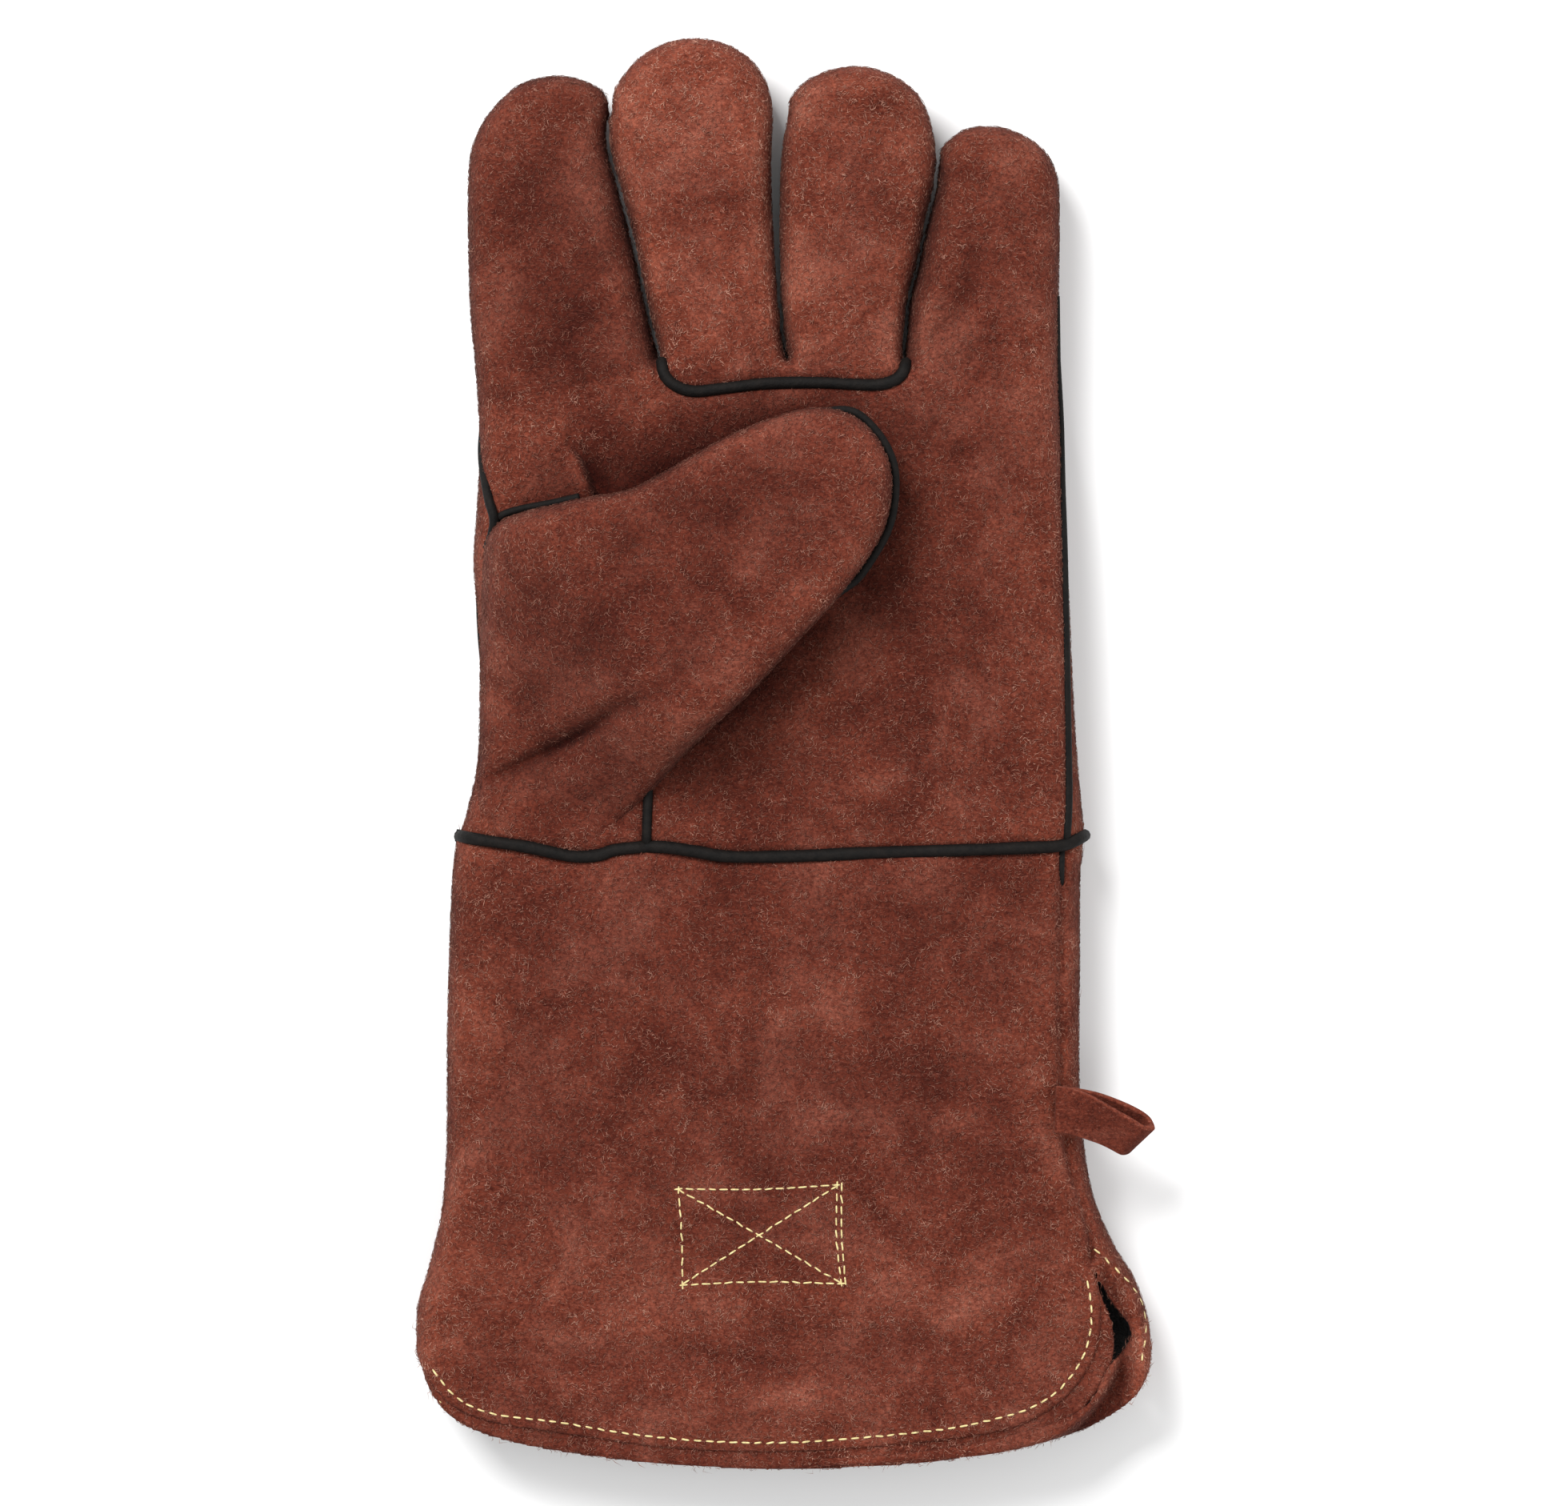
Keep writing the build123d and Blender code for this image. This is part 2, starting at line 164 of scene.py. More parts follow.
def from_segment(start, end, x, y):
    """Squared distance from a straight piece, and how far along it (0 to 1) the nearest spot is."""
    (ax, ay), (bx, by) = start, end
    dx, dy = bx - ax, by - ay
    t = np.clip(((x - ax) * dx + (y - ay) * dy) / (dx * dx + dy * dy + 1e-12), 0, 1)
    return (x - ax - t * dx) ** 2 + (y - ay - t * dy) ** 2, t


def outside(outline, x, y):
    """Signed distance from a closed outline: positive outside it, negative inside."""
    nearest = np.full(x.shape, 1e9)
    inside = np.zeros(x.shape, bool)
    for (ax, ay), (bx, by) in zip(outline, np.roll(outline, -1, axis=0)):
        gap, _ = from_segment((ax, ay), (bx, by), x, y)
        np.minimum(nearest, gap, out=nearest)
        if ay != by:
            crosses = ((ay > y) != (by > y)) & (x < ax + (y - ay) * (bx - ax) / (by - ay))
            inside ^= crosses
    nearest = np.sqrt(nearest)
    return np.where(inside, -nearest, nearest)


def beside(path, x, y):
    """Distance from an open path, and how far along it (0 to 1) the nearest spot is."""
    path = np.array(path, float)
    nearest, along = np.full(x.shape, 1e9), np.zeros(x.shape)
    lengths = np.linalg.norm(np.diff(path, axis=0), axis=1)
    start = np.concatenate([[0], np.cumsum(lengths)])
    for k in range(len(path) - 1):
        gap, t = from_segment(path[k], path[k + 1], x, y)
        closer = gap < nearest
        nearest = np.where(closer, gap, nearest)
        along = np.where(closer, (start[k] + t * lengths[k]) / start[-1], along)
    return np.sqrt(nearest), along


def ripple(x, y, scale, seed, waves=26):
    """Soft random relief, about -1 to 1, with bumps about scale across."""
    rng = np.random.default_rng(seed)
    total = np.zeros(x.shape)
    for _ in range(waves):
        angle, phase = rng.uniform(0, 2 * math.pi, 2)
        k = 2 * math.pi / (scale * rng.uniform(1.4, 3.0))
        total += np.sin(k * (x * math.cos(angle) + y * math.sin(angle)) + phase)
    return total / math.sqrt(waves)


def crease(plan, points, width, depth):
    """A ridge (positive depth) or valley along a curve, fading out at both ends."""
    gap, along = beside(smooth(points, spacing=2.5), plan.x, plan.y)
    fade = np.sin(np.pi * np.clip(along, 0.02, 0.98)) ** 0.7
    return depth * np.exp(-((gap / width) ** 2)) * fade


def tuck(plan, points, reach, depth):
    """A step along a curve: the leather stands up on its left side and drops away on its right."""
    path = smooth(points, spacing=1.5)
    gap, along = beside(path, plan.x, plan.y)
    line = path[np.argsort(path[:, 1])]
    side = np.tanh((np.interp(plan.y, line[:, 1], line[:, 0]) - plan.x) / 0.8)
    fade = np.sin(np.pi * np.clip(along, 0.05, 0.95)) ** 0.6
    return depth * side * np.exp(-((gap / reach) ** 2)) * fade


def groove(plan, points, width, depth):
    """A seam's groove along a curve, equally deep all along."""
    gap, _ = beside(smooth(points, spacing=2.5), plan.x, plan.y)
    return -depth * np.exp(-((gap / width) ** 2))


def ease(t):
    t = np.clip(t, 0, 1)
    return t * t * (3 - 2 * t)


# ---------------------------------------------------------------- puffed shapes


class Pillow:
    """A puffed shape over a plan outline: a seam at some height, and a swell above and below it."""

    # How squarely the sides stand: 2 would make them round
    POWER = 2.5

    def __init__(self, plan, outline, rim, seam, top, bottom):
        self.plan = plan
        self.gap = outside(outline, plan.x, plan.y)
        self.fill = self.swell(rim)
        full = np.ones(plan.x.shape)
        self.seam, self.top, self.bottom = seam * full, top * full, bottom * full
        self.relief = np.zeros(plan.x.shape)

    def swell(self, rim):
        """How full the shape is: 0 on the outline and near 1 far inside, with no ridge anywhere."""
        step, inner = self.plan.step, self.gap < 0
        q = np.where(inner, 1 - np.exp(np.minimum(self.gap, 0) / rim), -self.gap / rim)
        pull = 4 + (step / rim) ** 2
        for _ in range(420):
            ring = q[:-2, 1:-1] + q[2:, 1:-1] + q[1:-1, :-2] + q[1:-1, 2:]
            q[1:-1, 1:-1] = np.where(inner[1:-1, 1:-1], (ring + (step / rim) ** 2) / pull, q[1:-1, 1:-1])
        q = np.clip(q, -3, 1)
        return q * (2 - q)

    def height(self, x, y):
        """The height of the upper side at plan points."""
        at = self.plan.at
        full = np.clip(at(self.fill, x, y), 0, 1) ** (1 / self.POWER)
        return at(self.seam, x, y) + (at(self.top, x, y) + at(self.relief, x, y)) * full

    def floor(self, x, y):
        """The height of the lower side at plan points."""
        at = self.plan.at
        full = np.clip(at(self.fill, x, y), 0, 1) ** (1 / self.POWER)
        return at(self.seam, x, y) - at(self.bottom, x, y) * full

    def distance(self, z):
        """Signed distance from the surface on the plan's grid at the heights z: a 3-D array."""
        z = z[None, None, :].astype(np.float32)
        seam = self.seam[:, :, None].astype(np.float32)
        above = (self.top + self.relief)[:, :, None].astype(np.float32)
        below = self.bottom[:, :, None].astype(np.float32)
        rise = (z - seam) / np.where(z > seam, above, below)
        level = np.abs(rise) ** self.POWER - self.fill[:, :, None].astype(np.float32)
        return as_distance(level, self.plan.step)


def as_distance(level, step):
    """Turns a level field into distance from its zero surface, true close to that surface."""
    slope = np.sqrt(sum(g * g for g in np.gradient(level, step))) + 1e-4
    return level / slope


def rounded(a, b, radius):
    """What lies in both a and b, with the edge between them rounded."""
    corner = np.hypot(np.maximum(a + radius, 0), np.maximum(b + radius, 0)) - radius
    return np.where(np.minimum(a, b) > -radius, corner, np.maximum(a, b))


class PaintedShade:
    """Painted shade and light for the suede's colour, from heights seen from above: lighter on rims and
    swells as if lit, darker in folds and beside what stands over it as if shaded, with patches of tone that
    differ at random and grow lighter towards the hem. shapes are the surfaces themselves. shading holds
    shapes that only darken what is near."""

    def __init__(self, shapes, shading=()):
        self.plan = Plan((-110, -220), (110, 196), 1.0)
        height = self.top_of(shapes)
        self.near = self.blurred(height, 3.0)
        self.far = self.blurred(self.top_of((*shapes, *shading)), 8.0)
        self.detail = np.clip(height - self.blurred(height, 2.2), -2.2, 1.2)
        x, y = self.plan.x, self.plan.y
        self.patches = 0.13 * ripple(x, y, 23, 61) + 0.10 * ripple(x, y, 8, 62)
        self.patches = self.patches + 0.30 * ease((-92 - y) / 50)

    def top_of(self, shapes):
        x, y = self.plan.x, self.plan.y
        height = np.zeros(x.shape)
        for shape in shapes:
            grid = shape.plan
            reach_x = (x > grid.low[0]) & (x < grid.x.max())
            reach = reach_x & (y > grid.low[1]) & (y < grid.y.max()) & (grid.at(shape.gap, x, y) < 0)
            height = np.where(reach, np.maximum(height, shape.height(x, y)), height)
        return height

    def blurred(self, field, width):
        fx = np.fft.fftfreq(field.shape[0], self.plan.step)[:, None]
        fy = np.fft.rfftfreq(field.shape[1], self.plan.step)[None, :]
        fall = np.exp(-2 * (math.pi * width) ** 2 * (fx**2 + fy**2))
        return np.fft.irfft2(np.fft.rfft2(field) * fall, field.shape)

    def tone(self, points, normals, tint=0.0):
        x, y, z = points.T
        at = self.plan.at
        # Painted shade and light: darker where a point lies below the blurred heights around it (folds,
        # beside and under the thumb), lighter where it stands above them (rims), and darker on sides that
        # face away from above.
        stands = 0.9 * (z - at(self.near, x, y)) / 9 + 1.3 * (z - at(self.far, x, y)) / 16
        up = np.clip(normals[:, 2] * 1.4 + 0.1, 0, 1)
        painted_shading = (np.clip(stands, -0.75, 0.3) + 0.2 * at(self.detail, x, y)) * up - 0.25 * (1 - up)
        return np.clip(painted_shading + tint + at(self.patches, x, y), -1, 1)


class Skin:
    """A mesh of a distance field's zero surface, in millimetres, with smooth normals."""

    def __init__(self, field, low, step):
        band = 3 * step
        clipped = np.clip(field, -band, band).astype(np.float32)
        for k in range(3):
            ends = [slice(None)] * 3
            for end in (0, -1):
                ends[k] = end
                clipped[tuple(ends)] = band
        grid = openvdb.FloatGrid(band)
        grid.copyFromArray(clipped, tolerance=1e-5)
        points, quads = grid.convertToQuads(isovalue=0.0)
        slopes = np.stack(np.gradient(clipped, step), -1)
        self.normals = unit(sample3(slopes, points))
        self.points = points.astype(float) * step + np.array(low)
        self.faces = quads.astype(np.int64)
        a, b, c = (self.points[self.faces[:, k]] for k in range(3))
        turn = np.cross(b - a, c - a)
        if (turn * self.normals[self.faces[:, 0]]).sum() < 0:
            self.faces = self.faces[:, ::-1]

    def centres(self):
        return self.points[self.faces].mean(1)

    def part(self, chosen):
        """The chosen faces as points, normals and faces of their own."""
        faces = self.faces[chosen]
        used, index = np.unique(faces, return_inverse=True)
        return self.points[used], self.normals[used], index.reshape(faces.shape)


def unit(v):
    return v / (np.linalg.norm(v, axis=-1, keepdims=True) + 1e-12)


def sample3(field, points):
    """Values of a 3-D grid of vectors at points given in grid steps."""
    top = np.array(field.shape[:3]) - 1.001
    p = np.clip(points, 0, top)
    i = p.astype(int)
    f = (p - i)[:, :, None]
    total = 0
    for dx in (0, 1):
        for dy in (0, 1):
            for dz in (0, 1):
                weight = (
                    (f[:, 0] if dx else 1 - f[:, 0])
                    * (f[:, 1] if dy else 1 - f[:, 1])
                    * (f[:, 2] if dz else 1 - f[:, 2])
                )
                total = total + weight * field[i[:, 0] + dx, i[:, 1] + dy, i[:, 2] + dz]
    return total


# ---------------------------------------------------------------- pieces

MATERIALS = {}


def make_piece(name, points, faces, material, normals=None, nodes=(), tone=None):
    """A mesh object from millimetre points and faces (all with the same number of corners).
    The last argument holds the painted shade and light of the leather at each point, with its tints and
    random tone, from -1 to 1."""
    mesh = bpy.data.meshes.new(name)
    faces = np.asarray(faces)
    corners = faces.shape[1]
    mesh.vertices.add(len(points))
    mesh.vertices.foreach_set("co", (np.asarray(points) * MM).astype(np.float32).ravel())
    mesh.loops.add(faces.size)
    mesh.loops.foreach_set("vertex_index", faces.astype(np.int32).ravel())
    mesh.polygons.add(len(faces))
    mesh.polygons.foreach_set("loop_start", np.arange(0, faces.size, corners, dtype=np.int32))
    mesh.polygons.foreach_set("loop_total", np.full(len(faces), corners, np.int32))
    mesh.update(calc_edges=True)
    if normals is not None:
        mesh.normals_split_custom_set_from_vertices(normals.astype(np.float32).tolist())
    if tone is not None:
        mesh.attributes.new("tone", "FLOAT", "POINT").data.foreach_set("value", tone.astype(np.float32))
    mesh.materials.append(MATERIALS[material])
    piece = bpy.data.objects.new(name, mesh)
    bpy.context.scene.collection.objects.link(piece)
    if nodes:
        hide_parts(*nodes)
    return piece


def along_joint(name):
    """A hinge's place in millimetres, and the plan direction that its child points in."""
    joint = JOINTS[name]
    pivot = np.array(joint["pos_m"]) / MM
    ax, ay, _ = joint["axis"]
    return pivot, np.array([-ay, ax, 0.0])


def bend(piece, joint_name, before, after):
    """Bakes the piece's placement into its mesh; it does not bend the piece across the hinge.
    joint_name, before and after (millimetres ahead of and beyond the hinge) are not used.
    """
    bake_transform(piece)


FINGER_BEND = (9.0, 14.0)
THUMB_BEND = (11.0, 13.0)
WRIST_BEND = (13.0, 14.0)


def bend_finger(piece, finger):
    bend(piece, f"{finger}_curl", *FINGER_BEND)


def bend_thumb(piece):
    bend(piece, "thumb_lift", *THUMB_BEND)


def bend_wrist(piece):
    bend(piece, "wrist_fold", *WRIST_BEND)


def tube(path, radius, sides=10):
    """Points, normals and faces of a round cord along a 3-D path, with a cap on each end."""
    n = len(path)
    ahead = unit(np.gradient(path, axis=0))
    side = unit(np.cross(ahead, np.broadcast_to([0.0, 0.0, 1.0], ahead.shape)))
    lift = np.cross(side, ahead)
    turn = np.arange(sides) / sides * 2 * math.pi
    radius = np.broadcast_to(np.asarray(radius, float), (n,))[:, None, None]
    ring = np.cos(turn)[None, :, None] * side[:, None] + np.sin(turn)[None, :, None] * lift[:, None]
    points = (path[:, None] + radius * ring).reshape(-1, 3)
    normals = unit(ring).reshape(-1, 3)
    faces = []
    for i in range(n - 1):
        for k in range(sides):
            a, b = i * sides + k, i * sides + (k + 1) % sides
            faces.append((a, a + sides, b + sides, b))
    for end, step in ((0, 1), (n - 1, -1)):
        middle = len(points)
        points = np.vstack([points, path[end]])
        normals = np.vstack([normals, -step * ahead[end]])
        for k in range(sides):
            a, b = end * sides + k, end * sides + (k + 1) % sides
            faces.append((middle, a, b, b) if step > 0 else (middle, b, a, a))
    return points, normals, np.array(faces)


def joined(parts):
    """Several sets of points, normals and faces as one."""
    points, normals, faces, count = [], [], [], 0
    for p, n, f in parts:
        points.append(p)
        normals.append(n)
        faces.append(f + count)
        count += len(p)
    return np.concatenate(points), np.concatenate(normals), np.concatenate(faces)


def piece_of(name, parts, material, node):
    """A piece made of tubes, in triangles. The faces of their caps have a repeated corner."""
    points, normals, faces = parts
    caps = faces[:, 2] == faces[:, 3]
    quads = faces[~caps]
    halves = np.concatenate([quads[:, (0, 1, 2)], quads[:, (0, 2, 3)], faces[caps][:, :3]])
    return make_piece(name, points, halves, material, normals, (node,))


# ---------------------------------------------------------------- outlines, from the wrist round

LEFT_SIDE = [
    (-79.0, -46), (-80.2, -25), (-77.6, -14), (-74.8, 0), (-74.2, 17), (-75.1, 33), (-76.1, 47),
    (-75.3, 60), (-74.6, 76), (-75.6, 94),
]  # fmt: skip
INDEX_TIP = [
    (-77.0, 110), (-77.4, 142), (-75, 152.5), (-71, 158.6), (-64.5, 164.2), (-55.5, 166.2),
    (-47.5, 164.3),
]  # fmt: skip
MIDDLE_TIP = [
    (-40.6, 164.3), (-35.9, 170.2), (-29, 174.2), (-21, 175.3), (-13.5, 173.6), (-7.6, 169.6),
    (-4.1, 163.6),
]  # fmt: skip
RING_TIP = [(1.7, 160.8), (5.6, 165), (12, 167.7), (20, 168.4), (29.6, 164.6), (34.7, 158.4)]
LITTLE_TIP = [(40.2, 150.2), (44.2, 152.9), (50, 153.9), (56.4, 152.6), (62.8, 148.9), (66.4, 143.5)]
RIGHT_SIDE = [
    (67.5, 136), (67.3, 112), (67, 94), (68.2, 70), (69.3, 50), (70, 35), (70.8, 17), (71.8, 0),
    (73.0, -14), (73.6, -22), (72.6, -46),
]  # fmt: skip

# The side seams. The first has heights, the second lies on the palm side
THUMB_SIDE_SEAM = [
    (-73.6, 89, 8.5), (-73.8, 81, 10.5), (-74.0, 75, 15.5), (-73.5, 69, 20.0), (-72.2, 62, 24.6),
    (-70.8, 57.0, 26.2), (-71.6, 52.6, 24.5), (-73.4, 48, 20), (-74.3, 40, 16.5), (-74.2, 29, 13),
    (-73.2, 16, 10.5), (-73.2, 0, 10.5), (-76.0, -14, 11), (-79.2, -21, 13),
]  # fmt: skip
LITTLE_SIDE_SEAM = [
    (66.6, 112), (67.0, 96), (67.7, 80), (68.1, 62), (68.5, 46), (68.9, 30), (69.2, 14), (69.4, 0),
    (69.5, -12), (69.0, -22),
]  # fmt: skip

# Each gap between fingers: plan points from its open end down, with half its width there
INDEX_GAP = [
    (-42.7, 160.4, 0.6), (-43.1, 149, 0.52), (-40, 136.8, 0.52), (-36.9, 124.7, 0.52),
    (-33.8, 110, 0.52), (-31, 98.4, 0.5),
]  # fmt: skip
MIDDLE_GAP = [
    (-0.9, 156.5, 2.0), (-1.9, 147, 1.45), (-2, 135, 1.15), (-1.7, 123, 0.75), (-1, 110, 0.52),
    (0.2, 99, 0.5),
]  # fmt: skip
RING_GAP = [
    (37.7, 147.8, 0.6), (37.1, 139.4, 0.52), (34.8, 129.6, 0.52), (32.8, 119.8, 0.52),
    (30.6, 111, 0.52), (29.6, 99.5, 0.5),
]  # fmt: skip
GAPS = (INDEX_GAP, MIDDLE_GAP, RING_GAP)
GAP_ENDS = [(-30.2, 95.6), (1.2, 95.8), (29.7, 95.4)]

FINGER_BASE_SEAM = [
    (-29.9, 95.8), (-29.4, 92.8), (-27.3, 90.2), (-22.4, 88.4), (-14, 89.2), (-4, 90.3), (8.3, 90.5),
    (17, 90.1), (23.4, 90.0), (27.6, 91.4), (29.3, 93.4), (29.8, 95.6),
]  # fmt: skip
WRIST_SEAM = [
    (-80.6, -20.2), (-73, -21.4), (-62.4, -23.0), (-52, -25.2), (-45.5, -25.0), (-40.8, -23.6),
    (-31, -22.9), (-22, -24.0), (-13.4, -25.3), (2.3, -25.2), (21.8, -24.4), (41.4, -23.8), (58, -23.2),
    (68, -22.6), (73.8, -20.2),
]  # fmt: skip
THUMB_HOLE_SEAM = [(-33.6, -22.6), (-33.5, -17), (-33.2, -9)]


def left_wall(gap):
    """The wall on a gap's left, from the fingertips down."""
    return [(x - w, y) for x, y, w in gap]


def right_wall(gap):
    """The wall on a gap's right, from its root up to the fingertips."""
    return [(x + w, y) for x, y, w in reversed(gap)]


def walls(gap, end):
    """Both walls of a gap between fingers: down the left one, round its end and up the right one."""
    return left_wall(gap) + [end] + right_wall(gap)


def hand_outline():
    points = (
        LEFT_SIDE + INDEX_TIP + walls(INDEX_GAP, GAP_ENDS[0]) + MIDDLE_TIP + walls(MIDDLE_GAP, GAP_ENDS[1])
        + RING_TIP + walls(RING_GAP, GAP_ENDS[2]) + LITTLE_TIP + RIGHT_SIDE
    )  # fmt: skip
    return smooth(points, closed=True, spacing=1.5)


THUMB_EDGE = [
    (-75.0, -30), (-76.0, -14), (-74.9, 0), (-74.5, 20), (-74.2, 42), (-73.2, 51.5), (-70.2, 56.2),
    (-64, 58.6), (-56.5, 60.2), (-48.7, 61.9), (-38.5, 63.6), (-31.4, 66.9), (-22.7, 71.8), (-14, 76.6),
    (-5.2, 80.5), (3.4, 83.1), (10.6, 83.7), (16.8, 82), (21.9, 77.4), (25.3, 71.4), (26.2, 65.1),
    (25, 56.4), (21.1, 48.5), (14, 38.9), (3.4, 27.4), (-7.9, 15.1), (-17.5, 6.4), (-24.5, -.6),
    (-32.2, -10.8), (-37.2, -17.5), (-43, -25), (-52, -32),
]  # fmt: skip

CUFF_LEFT = [
    (-79.4, 12), (-79.9, -14), (-80.6, -24), (-81.4, -32), (-82, -47), (-82.6, -71), (-82.8, -98),
    (-84.2, -114), (-87.2, -126.5), (-89.6, -134.5), (-90.2, -143), (-90, -158), (-88, -204),
]  # fmt: skip
CUFF_RIGHT = [
    (88, -204), (90.2, -158), (90.3, -147), (89.3, -139), (86.2, -129.5), (80.8, -120.5),
    (76.4, -110.5), (73.9, -99), (72.4, -80), (72.5, -52), (72.6, -30), (73.3, -24), (73, -14),
    (72.4, 12),
]  # fmt: skip

# Hem curves from the slit's top round to the left fold: the panel's, the band's, the back's, and
# that of the lip which curls over from the back
PANEL_EDGE = [
    (75.6, -124), (76.3, -129), (77.5, -136), (77.1, -143), (74.9, -149.6), (69.6, -157), (62.6, -162),
    (54.5, -165.4), (38.9, -168), (14.4, -170.2), (-4, -170.9), (-22.2, -170.3), (-38.1, -168.8),
    (-55.3, -166.2), (-70, -164), (-79.6, -160.6), (-85.6, -155.2), (-90, -148),
]  # fmt: skip
BAND_EDGE = [
    (75.8, -124), (77.4, -131.8), (80.2, -138.6), (80.8, -146), (78.8, -152.8), (75, -158.6),
    (69.4, -164.3), (61, -168.2), (50, -171.2), (32, -173.8), (0, -175.2), (-30, -173.9), (-52, -171.3),
    (-68, -168.2), (-78.4, -164.4), (-84.8, -159), (-88.2, -152.6), (-90.4, -144),
]  # fmt: skip
BACK_EDGE = [
    (90.8, -143), (89.9, -150), (87.0, -156.2), (82.4, -160.9), (74, -165.6), (63, -169), (51, -171.4),
    (32, -173.2), (0, -174.6), (-30, -173.3), (-52, -170.8), (-68, -167.8), (-78.4, -164),
    (-84.8, -158.6), (-88.2, -152.2), (-90.4, -143),
]  # fmt: skip
CURL_EDGE = [
    (74.6, -121.6), (76.4, -127.6), (78.6, -131.8), (80.9, -135.6), (84.0, -139.4), (84.8, -142.6),
    (83.4, -145.8), (80.6, -148.4), (78.0, -152), (74.6, -158.6), (66, -163.4), (50, -167.8),
    (30, -170.8), (8, -172.2),
]  # fmt: skip
CUFF_SEAM = [
    (67.9, -23), (67.6, -45), (67.6, -70), (67.9, -86), (69, -97), (70.9, -105), (73.3, -112),
    (74.8, -118), (75.2, -124),
]  # fmt: skip


def closing(curve, corners):
    """A closed outline: the smooth curve, then straight on round the corner points."""
    return np.concatenate([smooth(curve, spacing=1.5), np.array(corners, float)])


# ---------------------------------------------------------------- materials


def new_material(name):
    material = bpy.data.materials.new(name)
    material.use_nodes = True
    tree = material.node_tree
    shader = tree.nodes["Principled BSDF"]
    place = tree.nodes.new("ShaderNodeTexCoord").outputs["Object"]
    MATERIALS[name] = material
    return tree, shader, place


def noise(tree, place, size, detail=3.0, rough=0.55, twist=0.0):
    """Noise with features about size millimetres across."""
    node = tree.nodes.new("ShaderNodeTexNoise")
    node.inputs["Scale"].default_value = 1 / (size * MM)
    node.inputs["Detail"].default_value = detail
    node.inputs["Roughness"].default_value = rough
    node.inputs["Distortion"].default_value = twist
    tree.links.new(place, node.inputs["Vector"])
    return node.outputs["Fac"]


def stretched(tree, place, turn, squeeze):
    """Coordinates turned about Z and squeezed along one way, for streaky noise."""
    node = tree.nodes.new("ShaderNodeMapping")
    node.inputs["Rotation"].default_value = (0, 0, math.radians(turn))
    node.inputs["Scale"].default_value = (squeeze, 1, 1)
    tree.links.new(place, node.inputs["Vector"])
    return node.outputs["Vector"]


def ramp(tree, value, stops):
    """Colours along a value. stops holds (position, linear colour) pairs."""
    node = tree.nodes.new("ShaderNodeValToRGB")
    steps = node.color_ramp.elements
    while len(steps) < len(stops):
        steps.new(0.5)
    for step, (position, colour) in zip(steps, stops):
        step.position = position
        step.color = (*colour, 1)
    tree.links.new(value, node.inputs["Fac"])
    return node.outputs["Color"]


def blended(tree, share, first, second, kind="MIX"):
    """Mixes two colours. share is a number or a socket."""
    node = tree.nodes.new("ShaderNodeMix")
    node.data_type = "RGBA"
    node.blend_type = kind
    if isinstance(share, float):
        node.inputs[0].default_value = share
    else:
        tree.links.new(share, node.inputs[0])
    tree.links.new(first, node.inputs[6])
    tree.links.new(second, node.inputs[7])
    return node.outputs[2]


def bumped(tree, shader, heights):
    """Adds bump maps to the shader. heights holds (value, depth in millimetres, strength)."""
    normal = None
    for value, depth, strength in heights:
        node = tree.nodes.new("ShaderNodeBump")
        node.inputs["Distance"].default_value = depth * MM
        node.inputs["Strength"].default_value = strength
        tree.links.new(value, node.inputs["Height"])
        if normal is not None:
            tree.links.new(normal, node.inputs["Normal"])
        normal = node.outputs["Normal"]
    tree.links.new(normal, shader.inputs["Normal"])


def with_painted_shade(tree, colour):
    """The colour, made darker or lighter by the painted shade and light stored on the piece, with its tints
    and random tone.
    """
    tone = tree.nodes.new("ShaderNodeAttribute")
    tone.attribute_name = "tone"
    spread = tree.nodes.new("ShaderNodeMapRange")
    spread.inputs["From Min"].default_value = -1
    tree.links.new(tone.outputs["Fac"], spread.inputs["Value"])
    # Painted shade darkens the colour towards -1, painted light lightens it towards 1.
    stops = [(0.0, (0.13, 0.06, 0.04)), (0.5, GREY), (1.0, (0.88, 1.0, 1.0))]
    shaded = blended(tree, 1.0, colour, ramp(tree, spread.outputs["Result"], stops), "MULTIPLY")
    half = tree.nodes.new("ShaderNodeRGB")
    half.outputs[0].default_value = (0.5, 0.5, 0.5, 1)
    return blended(tree, 1.0, shaded, half.outputs[0], "DIVIDE")


GREY = (0.5, 0.5, 0.5)


